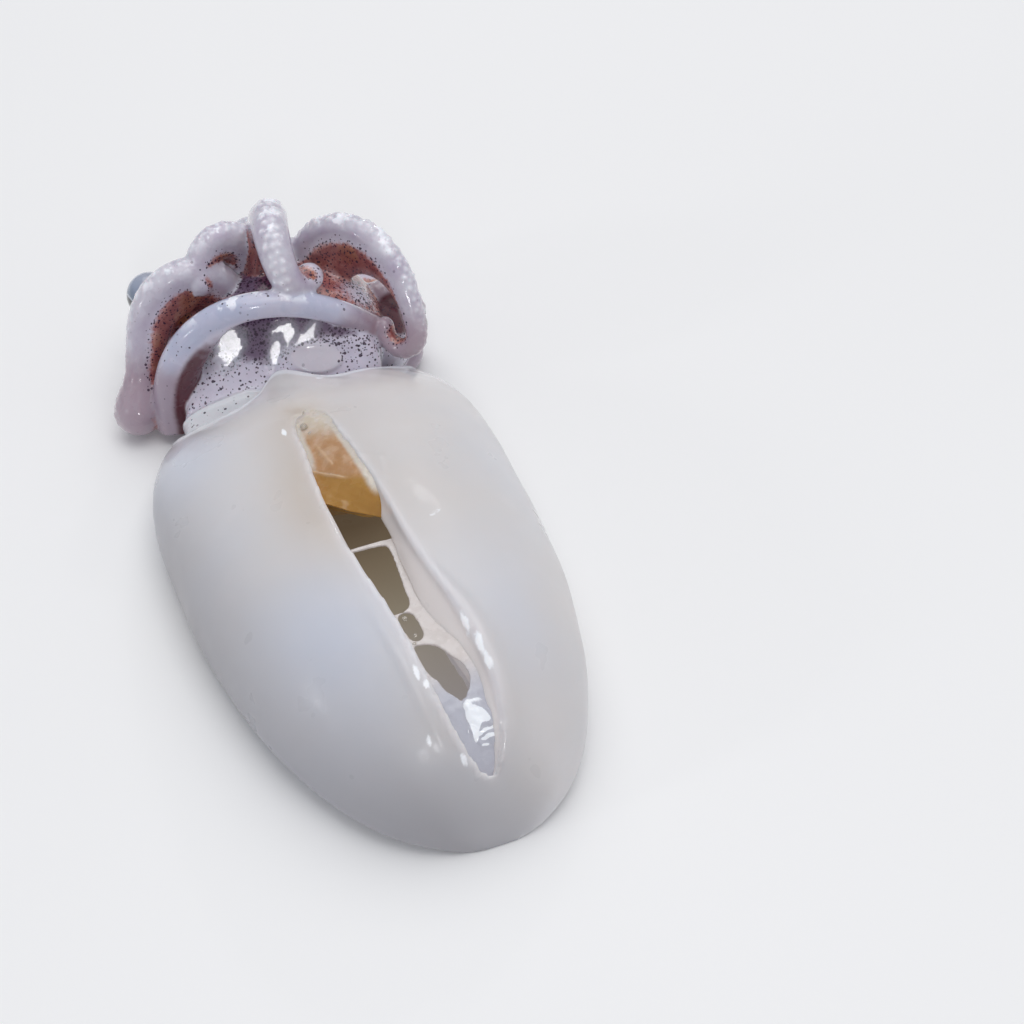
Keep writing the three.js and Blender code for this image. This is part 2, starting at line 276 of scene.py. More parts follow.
def joined(meshes):
    bm = bmesh.new()
    for mesh in meshes:
        bm.from_mesh(mesh)
    return as_mesh(bm, "joined")


def with_modifiers(mesh, *modifiers):
    """The mesh after modifiers, each given as (type, settings)."""
    thing = placed("work", mesh)
    for kind, settings in modifiers:
        modifier = thing.modifiers.new(kind, kind)
        for name, value in settings.items():
            setattr(modifier, name, value)
    graph = bpy.context.evaluated_depsgraph_get()
    result = bpy.data.meshes.new_from_object(thing.evaluated_get(graph), depsgraph=graph)
    bpy.data.objects.remove(thing)
    return result


def cut(mesh, cutter):
    tool = placed("cutter", cutter)
    result = with_modifiers(mesh, ("BOOLEAN", {
        "object": tool, "operation": "DIFFERENCE", "solver": "EXACT",
    }))
    bpy.data.objects.remove(tool)
    return result


def fused(mesh, voxel, rounds):
    """One skin round all that overlaps, softened."""
    return with_modifiers(
        mesh,
        ("REMESH", {"mode": "VOXEL", "voxel_size": voxel}),
        ("SMOOTH", {"factor": 0.5, "iterations": rounds}),
    )


def relaxed(mesh, values, rounds):
    """Values evened out between neighbouring points."""
    edges = np.zeros(len(mesh.edges) * 2, int)
    mesh.edges.foreach_get("vertices", edges)
    a, b = edges.reshape(-1, 2).T
    count = np.bincount(a, minlength=len(values)) + np.bincount(b, minlength=len(values))
    values = np.asarray(values, float)
    for _ in range(rounds):
        total = np.bincount(a, values[b], len(values)) + np.bincount(b, values[a], len(values))
        values = 0.5 * values + 0.5 * total / np.maximum(count, 1)
    return values


def tree_of(mesh):
    co = points(mesh)
    polygons = [tuple(p.vertices) for p in mesh.polygons]
    return BVHTree.FromPolygons([tuple(p) for p in co], polygons)


def paint(mesh, **areas):
    """Keeps each area's values, one for every point, as an attribute for the material."""
    for name, values in areas.items():
        attribute = mesh.attributes.new(name, "FLOAT", "POINT")
        attribute.data.foreach_set("value", np.asarray(values, np.float32))


def waves(co, size, seed, octaves=3):
    """Smooth uneven values from about -1 to 1, from sums of turned sine waves."""
    rng = np.random.default_rng(seed)
    total = np.zeros(len(co))
    weight = 0
    for octave in range(octaves):
        for _ in range(5):
            direction = rng.normal(size=3)
            direction /= np.linalg.norm(direction)
            step = 2 * math.pi * 1.9 ** octave / size * rng.uniform(0.75, 1.3)
            total += 0.6 ** octave * np.sin(co @ direction * step + rng.uniform(0, 6.28))
        weight += 0.6 ** octave * 5
    return total / weight * 2


def piece(name, mesh, material, slot, *nodes):
    """A finished piece in metres, riding on the body and standing for its solid."""
    mesh.name = name
    mesh.transform(Matrix.Scale(MM, 4))
    mesh.polygons.foreach_set("use_smooth", [True] * len(mesh.polygons))
    mesh.materials.clear()
    mesh.materials.append(material)
    thing = placed(name, mesh)
    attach(thing, "root")
    if nodes:
        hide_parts(*nodes)
    return thing


def in_head(co):
    """From the head's frame to the whole part's."""
    co = np.asarray(co, float).reshape(-1, 3)
    c, s = math.cos(HEAD_YAW), math.sin(HEAD_YAW)
    return np.stack([
        co[:, 0] * c - co[:, 1] * s, co[:, 0] * s + co[:, 1] * c + HEAD_ORIGIN_Y, co[:, 2],
    ], 1)


# Shader helpers

def srgb(r, g, b):
    """Linear colour from 0 to 255 screen values."""
    def linear(v):
        v /= 255
        return v / 12.92 if v <= 0.04045 else ((v + 0.055) / 1.055) ** 2.4
    return linear(r), linear(g), linear(b)


class Wire:
    """A node's output. Expressions on wires and numbers add Math nodes."""

    def __init__(self, nodes, socket):
        self.nodes = nodes
        self.socket = socket

    def math(self, operation, *values):
        return self.nodes.add("Math", {"operation": operation}, dict(enumerate(values)))

    def __add__(self, other):
        return self.math("ADD", self, other)

    def __sub__(self, other):
        return self.math("SUBTRACT", self, other)

    def __rsub__(self, other):
        return self.math("SUBTRACT", other, self)

    def __mul__(self, other):
        return self.math("MULTIPLY", self, other)

    __radd__ = __add__
    __rmul__ = __mul__

    def ramp(self, low, high, bottom=0.0, top=1.0):
        """Smooth rise from bottom to top between low and high."""
        return self.nodes.add("MapRange", {"interpolation_type": "SMOOTHSTEP"}, {
            0: self, 1: low, 2: high, 3: bottom, 4: top,
        })

    def colours(self, *stops):
        """A colour ramp over (place, colour) stops."""
        return self.nodes.add("ValToRGB", {"stops": stops}, {0: self})

    def tones(self, *stops):
        """A colour ramp over (place, screen colour) stops."""
        return self.colours(*((at, srgb(*colour)) for at, colour in stops))

    def twin(self, output):
        """Another output of the same node."""
        return Wire(self.nodes, self.socket.node.outputs[output])


class Nodes:
    """One material's nodes round its Principled shader."""

    def __init__(self, name, **constants):
        self.material = bpy.data.materials.new(name)
        self.material.use_nodes = True
        self.tree = self.material.node_tree
        self.shader = self.tree.nodes["Principled BSDF"]
        for socket, value in constants.items():
            self.shader.inputs[socket.replace("_", " ")].default_value = value
        self.place = self.add("TexCoord", output="Object")

    def add(self, kind, settings=None, values=None, output=0):
        """Adds a node: its settings first, then the values or wires of its sockets."""
        node = self.tree.nodes.new("ShaderNode" + kind)
        for name, value in (settings or {}).items():
            if name == "stops":
                elements = node.color_ramp.elements
                while len(elements) < len(value):
                    elements.new(0.5)
                for element, (at, colour) in zip(elements, value):
                    element.position = at
                    element.color = (*colour, 1)
            else:
                setattr(node, name, value)
        for key, value in (values or {}).items():
            if isinstance(value, Wire):
                self.tree.links.new(value.socket, node.inputs[key])
            elif isinstance(value, tuple) and len(value) == 3 and \
                    len(node.inputs[key].default_value) == 4:
                node.inputs[key].default_value = (*value, 1)
            else:
                node.inputs[key].default_value = value
        return Wire(self, node.outputs[output])

    def attribute(self, name):
        return self.add("Attribute", {"attribute_name": name}, output="Fac")

    def noise(self, size, detail=3.0, roughness=0.55):
        """Fractal noise whose features are about size metres."""
        return self.add("TexNoise", None, {
            "Vector": self.place, "Scale": 1 / size, "Detail": detail, "Roughness": roughness,
        })

    def uneven(self, size, detail, strength):
        """Noise round zero, to break up an edge."""
        return (self.noise(size, detail) - 0.5) * strength

    def cells(self, size):
        """Distance from the middle of a cell, and two chance values that each cell has."""
        distance = self.add("TexVoronoi", None, {"Vector": self.place, "Scale": 1 / size})
        chance = self.add("SeparateColor", None, {0: distance.twin("Color")})
        return distance, chance, chance.twin("Green")

    def mix(self, factor, a, b):
        return self.add("Mix", {"data_type": "RGBA"}, {0: factor, 6: a, 7: b}, output=2)

    def stained(self, tone, *stains):
        """The tone under stains: an attribute or a wire, its strength and its screen colour."""
        for area, strength, colour in stains:
            if isinstance(area, str):
                area = self.attribute(area)
            tone = self.mix(area * strength, tone, srgb(*colour))
        return tone

    def bump(self, height, distance, strength):
        return self.add("Bump", None, {
            "Height": height, "Distance": distance, "Strength": strength,
        })

    def feed(self, **wires):
        for socket, wire in wires.items():
            self.tree.links.new(wire.socket, self.shader.inputs[socket.replace("_", " ")])
        return self.material


# Camera, light and floor, in metres

CAMERA_TARGET = Vector((0.0275, 0.0028, 0.018))
CAMERA_AZIMUTH = math.radians(-22)
CAMERA_ELEVATION = math.radians(44)
CAMERA_DISTANCE = 0.4
CAMERA_LENS = 74


def make_camera():
    data = bpy.data.cameras.new("camera")
    data.lens = CAMERA_LENS
    data.sensor_width = 36
    data.clip_start = 0.01
    data.clip_end = 10
    camera = placed("camera", data)
    a, e = CAMERA_AZIMUTH, CAMERA_ELEVATION
    back = Vector((math.sin(a) * math.cos(e), -math.cos(a) * math.cos(e), math.sin(e)))
    camera.location = CAMERA_TARGET + back * CAMERA_DISTANCE
    camera.rotation_mode = "QUATERNION"
    camera.rotation_quaternion = (-back).to_track_quat("-Z", "Y")
    bpy.context.scene.camera = camera


def softbox(name, place, size, power, colour):
    """A rectangular lamp that shines at the middle of the cuttlefish."""
    data = bpy.data.lights.new(name, "AREA")
    data.shape = "RECTANGLE"
    data.size, data.size_y = size
    data.energy = power
    data.color = colour
    light = placed(name, data)
    light.location = place
    light.rotation_mode = "QUATERNION"
    light.rotation_quaternion = (Vector(LIGHT_AIM) - Vector(place)).to_track_quat("-Z", "Y")


# Softboxes: place, edge lengths, power and colour, aimed at the cuttlefish's middle
LIGHT_AIM = (0.01, 0.02, 0.015)
SKY_COLOUR = (0.93, 0.95, 1.0)
SKY_STRENGTH = 0.42
SOFTBOXES = {
    "back_window": ((0.46, 0.79, 0.54), (0.1, 0.05), 0.28, (1, 0.99, 0.97)),
    "front_window": ((-0.24, -0.86, 0.56), (0.12, 0.12), 0.85, (1, 1, 1)),
    "left_window": ((-0.98, -0.02, 0.38), (0.1, 0.14), 0.5, (0.97, 0.98, 1)),
    "overhead": ((0.06, -0.25, 1.1), (0.7, 0.7), 2.4, (1, 1, 1)),
    "sky": ((0.2, 0.45, 1.2), (1.4, 1.4), 7.3, (1, 0.995, 0.985)),
}


def make_studio():
    world = bpy.data.worlds.new("studio")
    world.use_nodes = True
    background = world.node_tree.nodes["Background"]
    background.inputs["Color"].default_value = (*SKY_COLOUR, 1)
    background.inputs["Strength"].default_value = SKY_STRENGTH
    bpy.context.scene.world = world
    bpy.context.scene.view_settings.view_transform = "Standard"
    for name, (place, size, power, colour) in SOFTBOXES.items():
        softbox(name, place, size, power, colour)

    bm = bmesh.new()
    bmesh.ops.create_grid(bm, x_segments=1, y_segments=1, size=3)
    floor = placed("floor", as_mesh(bm, "floor"))
    nodes = Nodes("pale_floor", Roughness=0.8, Specular_IOR_Level=0.2)
    tone = nodes.noise(0.4, 2).colours((0.3, (0.90, 0.90, 0.905)), (0.7, (0.93, 0.93, 0.935)))
    floor.data.materials.append(nodes.feed(Base_Color=tone))


# Mantle

def swell(v, peak, rim, power):
    """Rises from 0 at the tip to 1 at the peak, and falls to rim at v = 1."""
    rising = (1 - (np.clip(peak - v, 0, peak) / peak) ** power) ** (1 / power)
    falling = 1 - (1 - rim) * (np.clip(v - peak, 0, 1) / (1 - peak)) ** 2.2
    return np.where(v < peak, rising, falling)


def rim_wave(angle):
    """How far the rim stands forward at an angle round it: lobes and hollows, in millimetres."""
    def bump(degrees, width):
        turn = np.mod(angle - math.radians(degrees) + math.pi, 2 * math.pi) - math.pi
        return bell(turn, 0, math.radians(width))

    back = 4.2 * smooth(np.abs(np.sin(angle)), 0, 0.8)
    left = 1.8 * smooth(-np.cos(angle), 0, 0.5)
    return -1 - back - left + 4.6 * bump(95, 10) - 1.2 * bump(72, 12)


def mantle_point(angle, v, inset, start):
    """Places on the mantle by the angle round it and v from tip to rim.

    The inner wall is the same form, inset, with its end moved forward by start.
    """
    half = (MANTLE_WIDTH / 2 - inset) * swell(v, WIDEST_AT, RIM_WIDTH, WIDTH_FULLNESS)
    rise = swell(v, HIGHEST_AT, RIM_HEIGHT, 2)
    top = (MANTLE_HEIGHT - inset * 0.5) * rise - inset * 0.5
    floor = inset * 0.85
    line = np.minimum(SIDE_LINE * MANTLE_HEIGHT * (0.35 + 0.65 * rise), top * 0.48)
    side = np.maximum(line, floor + 0.3)
    across, up = np.cos(angle), np.sin(angle)
    x = half * np.sign(across) * np.abs(across) ** 0.95
    above = side + (np.maximum(top, side + 0.2) - side) * np.clip(up, 0, 1) ** 0.9
    below = side - (side - floor) * np.abs(up) ** BELLY_FLATNESS
    z = np.where(up > 0, above, below)
    y = lerp(TIP_Y + start, RIM_Y, v) + SHEAR * x * v + rim_wave(angle) * v ** 6
    sway = SWAY * ((v - 0.5) ** 2 * 4 - 0.33)
    return np.stack([x + sway, y, np.maximum(z, 0)], 1)


def mantle_shell(around, fineness):
    """The hollow mantle: outside from tip to rim, a rounded lip, and the pocket's wall."""
    outer, lip, inner = MANTLE_LAYERS
    rows = outer + lip + inner

    def at(angle, t):
        row = t * rows
        s = np.clip(row / outer, 0, 1)
        outside = mantle_point(angle, s * s * (1.6 - 0.6 * s * s), 0, 0)
        outside[:, 2] = np.maximum(outside[:, 2] - OUTER_INSET, 0)
        v = (1 - np.clip((row - outer - lip) / inner, 0, 1)) ** 1.3
        inside = mantle_point(angle, v, lerp(WALL, RIM_WALL, smooth(v, 0.78, 1)), TIP_WALL)
        edge = mantle_point(angle, np.ones_like(t), RIM_WALL, TIP_WALL)
        share = np.clip((row - outer) / lip, 0, 1)[:, None]
        rim = lerp(outside, edge, share)
        rim[:, 1] += 1.3 * np.sin(math.pi * share[:, 0])
        result = np.where((row <= outer)[:, None], outside, rim)
        return np.where((row >= outer + lip)[:, None], inside, result)

    return skin(around, rows * fineness, at)


def ridge_height(y):
    """Height of the line along the middle of the back."""
    v = np.linspace(0, 1, 240)
    line = mantle_point(np.full_like(v, math.pi / 2), v, 0, 0)
    return np.interp(y, line[:, 1], line[:, 2] - OUTER_INSET)


def slit_middle(y):
    """Middle line of the slit, which bends to the right at its front and rear ends."""
    front, rear = SLIT_BENDS
    return SLIT_MIDDLE + front * smooth(y, 5, 35) + rear * smooth(-y, 4, 50)


def slit_half(y):
    """Half width of the slit at the back: widest in the middle, rounded at both ends."""
    front = np.clip((y - 28) / (SLIT_FRONT - 28), 0, 1)
    rear = np.clip((y + 36) / (SLIT_REAR + 36), 0, 1)
    rounding = (1 - front ** 2) ** 0.5 * (1 - rear ** 2.4) ** 0.6
    return SLIT_HALF * (1 - 0.3 * smooth(y, 5, 30)) * rounding


def slit_inner_share(y):
    """Half width of the slit's right side at its inner edge, as a share of the outer one."""
    return lerp(0.74, 0.3, smooth(-y, 2, 24)) + 0.28 * bell(y, -38, 4.5)


def slit_cutter():
    """The slit's outline as a flat disc, raised in steps and narrowed downward."""
    around, steps, depth = 180, 16, 32
    bm = bmesh.new()
    bmesh.ops.create_circle(bm, cap_ends=True, segments=around, radius=1)
    top = bm.faces[:]
    for step in range(steps):
        out = bmesh.ops.extrude_face_region(bm, geom=top)
        if step:
            bmesh.ops.delete(bm, geom=top, context="FACES_ONLY")
        top = [f for f in out["geom"] if isinstance(f, bmesh.types.BMFace)]
        verts = [v for v in out["geom"] if isinstance(v, bmesh.types.BMVert)]
        bmesh.ops.translate(bm, verts=verts, vec=(0, 0, depth / steps))
    bmesh.ops.recalc_face_normals(bm, faces=bm.faces)
    mesh = as_mesh(bm, "slit")
    co = points(mesh)
    y = lerp(SLIT_REAR, SLIT_FRONT, (co[:, 1] + 1) / 2)
    back = ridge_height(y)
    floor = lerp(SLIT_FLOOR, back - SLIT_REAR_DEPTH, smooth(-y, 39, 44))
    z = floor + co[:, 2] / depth * (SLIT_FLOOR + depth - floor)
    side = np.sign(np.where(np.abs(co[:, 0]) < 1e-5, 0, co[:, 0]))
    left = lerp(1, SLIT_INNER_SHARE, smooth(back - z, 0, SLIT_NARROWING[0]))
    right = lerp(1.06, slit_inner_share(y), smooth(back - z, 0, SLIT_NARROWING[1]))
    share = np.where(side < 0, left, right)
    move_points(mesh, np.stack([slit_middle(y) + side * slit_half(y) * share, y, z], 1))
    return mesh


def lip_rise(off, right, rear):
    """How far the slit's lips stand up, in millimetres, at a distance off its edge."""
    puffy = (0.08 + 0.75 * rear) * bell(off, 0.8 + 1.2 * rear, 0.8 + 1.1 * rear)
    rolled = 0.12 * bell(off, 0.5, 0.6)
    second = 0.28 * bell(off, 3.0, 1.0) - 0.14 * bell(off, 1.6, 0.6)
    return np.where(right, puffy, rolled + rear * second)


# The thin edge of the water that lies right of the slit, from point to point
WATER_EDGE = (((1.6, 16.7), (5.5, 14.1)), ((5.5, 14.1), (4, 7.1)))
# Painted highlights on the wet back, whitened and glowing: place from above, half widths, strength
PAINTED_HIGHLIGHTS = (
    (5.0, -31.5, 0.6, 2.4, 1), (6.0, -35.5, 0.7, 2.2, 1), (6.4, -38.8, 0.6, 1.9, 1),
    (-6.1, -37.2, 0.7, 1.5, 1), (-5.2, -39.2, 0.5, 1, 1), (-8.2, 31.2, 0.6, 1.6, 1),
    (-2.6, -50.2, 0.7, 1.2, 0.8), (8.4, -5.3, 1, 0.6, 0.65), (10, -4.5, 1.1, 0.6, 0.68),
    (-7.5, -46.2, 0.8, 1.3, 0.62), (7.3, -53.8, 0.7, 1.1, 0.8), (5.1, 52, 1.4, 0.9, 0.75),
)


def slit_gap(co):
    """Distance from the slit's outline, seen from above: less than nothing inside it."""
    gap = np.abs(co[:, 0] - slit_middle(co[:, 1])) - slit_half(co[:, 1])
    ends = np.maximum(co[:, 1] - SLIT_FRONT, SLIT_REAR - co[:, 1])
    return np.where(ends > 0, np.hypot(np.maximum(gap, 0), ends), gap)


def mantle_relief(co, off, right, length, above, away):
    """Height of the lips, the groove, the dish and the soft swellings over the plain mantle."""
    x, y, z = co.T
    rear = 1 - smooth(y, -34, -14)
    height = lip_rise(off, right, rear) * length * above * smooth(off, -0.4, 0.4)
    groove = smooth(y, 34, 40) * (1 - smooth(y, 48, 56)) * bell(x, -3.2, 2.4)
    dish = bell(x, -2.8, 3.4) * bell(y, 38.5, 4.5)
    height -= (0.35 * groove + 0.5 * dish) * above
    upper = smooth(z, 2, 9) * smooth(away, 0.5, 1)
    height += upper * (0.16 * waves(co, 30, 3, 2) + 0.03 * waves(co, 8, 5, 2))
    height += smooth(y, 40, 54) * upper * 0.16 * waves(co, 10, 8, 2)
    for start, end in WATER_EDGE:
        height += 0.12 * bell(segment_distance(co, start, end), 0, 0.6) * above
    return height


def make_mantle():
    shell = mantle_shell(MANTLE_AROUND, MANTLE_FINENESS)
    true_shape = tree_of(shell)
    mesh = fused(cut(shell, slit_cutter()), *MANTLE_FUSING)
    co = points(mesh)
    outward = normals(mesh)
    off = slit_gap(co)
    right = co[:, 0] > slit_middle(co[:, 1])
    # fusing rounds the shell off, so it is laid back on its true shape away from the slit
    away = smooth(off, 0.6, 1.6)
    for i in np.nonzero(away > 0)[0]:
        near = true_shape.find_nearest(Vector(co[i]))[0]
        co[i] = lerp(co[i], np.array(near), away[i])

    y = co[:, 1]
    above = smooth(outward[:, 2], 0.1, 0.6) * smooth(co[:, 2], 12, 18)
    length = smooth(y, SLIT_REAR - 3, SLIT_REAR + 8) * (1 - smooth(y, 26, 36))
    co += outward * mantle_relief(co, off, right, length, above, away)[:, None]
    co[:, 2] = np.maximum(co[:, 2], 0)
    move_points(mesh, co)

    x, y, z = co.T
    rim_angle = np.arctan2(np.maximum(z - RIM_LEVEL, 0) / RIM_OVAL[1], x / RIM_OVAL[0])
    to_rim = y - RIM_Y - SHEAR * x - rim_wave(rim_angle)
    warm = 0.75 * bell(off, 0, 7) * (0.4 + 0.6 * smooth(y, -30, 10)) * np.where(right, 0.5, 1)
    warm += 0.25 * bell(x, 12, 9) * bell(y, 4, 16) + 0.5 * bell(x, -12, 8) * bell(y, 6, 20)
    # painted light: a bluish cast, as of cool fill light, on the left flanks and the right rear
    # flank
    cool = bell(x, -16, 12) * bell(y, -24, 16) + bell(x, -27, 8) * bell(y, 40, 14)
    # painted highlights: whiter spots where the wet back would reflect the lamps
    gloss = np.zeros(len(co))
    for gx, gy, wide, long, strength in PAINTED_HIGHLIGHTS:
        gloss = np.maximum(gloss, strength * bell(x, gx, wide) * bell(y, gy, long))
    # painted shade: sides that face left and towards the tip are darkened, most near the floor
    facing = np.clip(-0.85 * outward[:, 0] - 0.5 * outward[:, 1], 0, 1)
    paint(
        mesh,
        lip=length * bell(off, 0, 1.4) * above,
        cut=1 - smooth(off, -0.6, 0.6),
        pocket=pocket_share(co) * (1 - smooth(to_rim, -7, -3)),
        # painted highlight: a bright line along the rim's edge
        brink=smooth(to_rim, -1.6, -0.3) * smooth(z, 4, 9),
        warm=warm * smooth(z, 16, 24),
        cool=cool + 0.5 * bell(x, 14, 8) * bell(y, -32, 12),
        dish=bell(x, -2.6, 3.6) * smooth(y, 28, 35) * (1 - smooth(y, 36, 45)) * above,
        gloss=gloss * above,
        low=smooth(facing, 0.05, 0.75) * (0.8 - 0.52 * smooth(z, 6, 28)),
        front=np.clip((y + 45) / 70, 0, 1),
        film=np.maximum(0.7 * bell(off, 0, 4), smooth(y, 40, 50)),
    )
    piece("mantle_flesh", mesh, flesh_material(), "mantle_flesh", "mantle")


def segment_distance(co, start, end):
    """Distance from a straight line between two points, seen from above."""
    start, end = np.array(start), np.array(end)
    span = end - start
    share = np.clip((co[:, :2] - start) @ span / (span @ span), 0, 1)
    return np.linalg.norm(co[:, :2] - start - share[:, None] * span, axis=1)


def pocket_share(co):
    """1 on the walls and floor of the pocket, 0 outside."""
    v = np.clip((co[:, 1] - TIP_Y - TIP_WALL / 2) / (RIM_Y - TIP_Y - TIP_WALL / 2), 0.001, 1)
    half = (MANTLE_WIDTH / 2 - WALL / 2) * swell(v, WIDEST_AT, RIM_WIDTH, WIDTH_FULLNESS)
    rise = swell(v, HIGHEST_AT, RIM_HEIGHT, 2)
    top = (MANTLE_HEIGHT - WALL / 4) * rise - WALL * 0.55
    middle = top * 0.5 + 1.5
    high = np.maximum(top - middle, 1)
    reach = np.hypot(co[:, 0] / np.maximum(half, 1), (co[:, 2] - middle) / high)
    return (1 - smooth(reach, 0.86, 1.04)) * smooth(v, 0.01, 0.06)


def flesh_material():
    nodes = Nodes(
        "wet_white_flesh", Roughness=0.32, IOR=1.38, Subsurface_Weight=0.6,
        Subsurface_Radius=(1.0, 0.85, 0.8), Subsurface_Scale=0.0028,
        Coat_Roughness=0.035, Coat_IOR=1.36, Emission_Strength=1.0,
    )
    tone = nodes.noise(0.04, 2).tones(
        (0.30, (214, 214, 219)), (0.5, (216, 214, 216)), (0.72, (219, 214, 212)),
    )
    # painted highlights: whiter colour here, and a glow below
    gloss = (nodes.attribute("gloss") + nodes.uneven(0.0018, 3, 0.8)).ramp(0.35, 0.7)
    smear = nodes.attribute("dish") * nodes.noise(0.004, 3).ramp(0.5, 0.7)
    tone = nodes.stained(
        tone,
        (nodes.noise(0.009, 4).ramp(0.5, 0.75), 0.18, (226, 223, 227)),
        # painted shade on the flanks that face left and towards the tip
        ("low", 1, (150, 148, 153)),
        ("warm", 1, (204, 195, 188)),
        # painted bluish cast of fill light
        ("cool", 0.5, (200, 208, 226)),
        ("dish", 0.75, (214, 203, 190)),
        (smear, 0.3, (188, 172, 156)),
        ("lip", 0.5, (230, 228, 234)),
        ("cut", 0.9, (211, 205, 203)),
        (gloss, 0.8, (244, 246, 250)),
    )
    # painted shade: the pocket's inside is dark grey-brown, darker and browner towards the head
    depth = nodes.attribute("pocket").ramp(0.25, 0.85)
    inner = nodes.attribute("front").tones(
        (0.1, (160, 156, 160)), (0.45, (150, 144, 136)), (0.8, (128, 112, 90)),
    )
    # painted highlight along the rim's edge
    tone = nodes.stained(nodes.mix(depth, tone, inner), ("brink", 0.8, (238, 240, 244)))
    # painted glow, given off as emission in place of light seeping through the flesh: in the slit's
    # walls, and in the pocket, less towards the head
    pocket_glow = nodes.attribute("front").colours(
        (0.15, (0.17, 0.16, 0.165)), (0.45, (0.175, 0.16, 0.145)), (0.62, (0.16, 0.142, 0.11)),
        (0.8, (0.13, 0.108, 0.078)), (0.97, (0.07, 0.052, 0.034)),
    )
    wall = nodes.mix(nodes.attribute("cut"), (0.0, 0.0, 0.0), (0.135, 0.128, 0.13))
    glow = nodes.mix(depth, wall, pocket_glow)
    # painted highlights also glow: on the wet spots and along the rim's edge
    glow = nodes.mix(gloss, glow, (0.11, 0.115, 0.125))
    glow = nodes.mix(nodes.attribute("brink") * 0.7, glow, (0.1, 0.105, 0.115))
    texture = nodes.noise(0.0022, 3) * 0.4 + nodes.noise(0.009, 3)
    return nodes.feed(
        Base_Color=tone, Roughness=nodes.noise(0.012, 3).ramp(0.3, 0.7, 0.27, 0.38),
        Normal=nodes.bump(texture, 0.0002, 0.2), Emission_Color=glow,
        Coat_Weight=nodes.attribute("film") * 0.8 + 0.06,
    )


# Film across the slit. The holes in it are closed outlines, seen from above; those that
# reach the left lip go on below it.
FILM_HOLES = (
    ((-10, -4.7), (-0.8, -4.7), (0.1, -6), (-0.4, -11.8), (-1, -16.9), (-1.1, -20), (-2, -21.7),
     (-3.6, -22.3), (-10, -21.6)),
    ((-4.7, -22.8), (-3, -22), (-1.8, -22.7), (-1.4, -25.1), (-1.4, -28.2), (-2.6, -29.7),
     (-4.2, -29), (-4.5, -26.5)),
    ((-4.4, -30.2), (-2.7, -30.4), (-1, -31), (0.4, -32.6), (1.4, -34.3), (2.8, -35.7),
     (3.2, -37.9), (2.8, -39.3), (1.7, -40.5), (0.8, -42), (-0.4, -40.5), (-1.9, -39.2),
     (-2.5, -37.3), (-3.3, -36.6), (-4.4, -33.6)),
)
FILM_MIDDLE = (-1.6, -27.3)
FILM_HALF = (7.6, 24.2)
FILM_FRONT = -3.9
FILM_TOP = 26.8
FILM_DEPTH = 3.7
FILM_THICKNESS = 0.55
# White membrane at the rear: middle and half sizes; a knot ahead of it; its wet white streaks,
# white tissue with a painted highlight on it
REAR_MEMBRANE = ((2.6, -45.1), (2.5, 3.4, 0.55))
KNOT_Y = -41.9
WHITE_STREAKS = (
    ((0.3, -42.2), (1.6, -42.4), (3, -43.2), (4.1, -44.6), (4.4, -45.4), (3, -45.4), (1.7, -46),
     (1.1, -47.4), (0.4, -47.6), (0.5, -45.5), (0, -43.8)),
    ((0.9, -46.5), (4.8, -45.9), (4.9, -46.3), (1.2, -47)),
    ((1.4, -47.1), (4.7, -46.9), (4.8, -47.5), (1.5, -47.5)),
    ((1.3, -47.9), (2.8, -47.9), (2.9, -48.2), (1.5, -48.2)),
)
# Air bubbles caught in the film and at the slit's front end: middle and radius
BUBBLES = (
    ((-4.1, 31.4, 26.6), 0.75), ((-3.4, -23.6, 26.9), 0.5), ((-3.0, -27.9, 26.8), 0.35),
    ((-3.6, 29.2, 26.4), 0.5), ((-3.9, -29.9, 26.9), 0.42),
)


def film_height(y):
    """Height of the film across the slit: level, and lower where the back slopes down."""
    return np.minimum(FILM_TOP, ridge_height(y) - FILM_DEPTH)


def rounded(outline, rounds=2):
    """A closed outline with its corners cut off again and again."""
    line = np.array(outline, float)
    for _ in range(rounds):
        after = np.roll(line, -1, 0)
        line = np.stack([0.75 * line + 0.25 * after, 0.25 * line + 0.75 * after], 1)
        line = line.reshape(-1, 2)
    return line


def within(outline, x, y):
    """Whether points lie inside a closed outline."""
    found = np.zeros(len(x), bool)
    for (ax, ay), (bx, by) in zip(outline, np.roll(outline, -1, 0)):
        if ay != by:
            found ^= ((ay > y) != (by > y)) & (x < ax + (y - ay) / (by - ay) * (bx - ax))
    return found


def film_sheet():
    """A thin sheet across the slit, with its holes."""
    bm = bmesh.new()
    bmesh.ops.create_grid(bm, x_segments=110, y_segments=420, size=1)
    for vert in bm.verts:
        vert.co.x = FILM_MIDDLE[0] + FILM_HALF[0] * vert.co.x
        vert.co.y = FILM_MIDDLE[1] + FILM_HALF[1] * vert.co.y
    bm.faces.ensure_lookup_table()
    middles = np.array([face.calc_center_median() for face in bm.faces])
    x, y = middles[:, 0], middles[:, 1]
    spare = (y > FILM_FRONT) | (np.abs(x - slit_middle(y)) > slit_half(y) * 0.94 + 0.3)
    for outline in FILM_HOLES:
        spare |= within(rounded(outline), x, y)
    bmesh.ops.delete(bm, geom=[bm.faces[i] for i in np.nonzero(spare)[0]], context="FACES")
    mesh = as_mesh(bm, "film")
    co = points(mesh)
    co[:, 2] = film_height(co[:, 1])
    move_points(mesh, co)
    return with_modifiers(mesh, ("SOLIDIFY", {"thickness": FILM_THICKNESS, "offset": 0}))


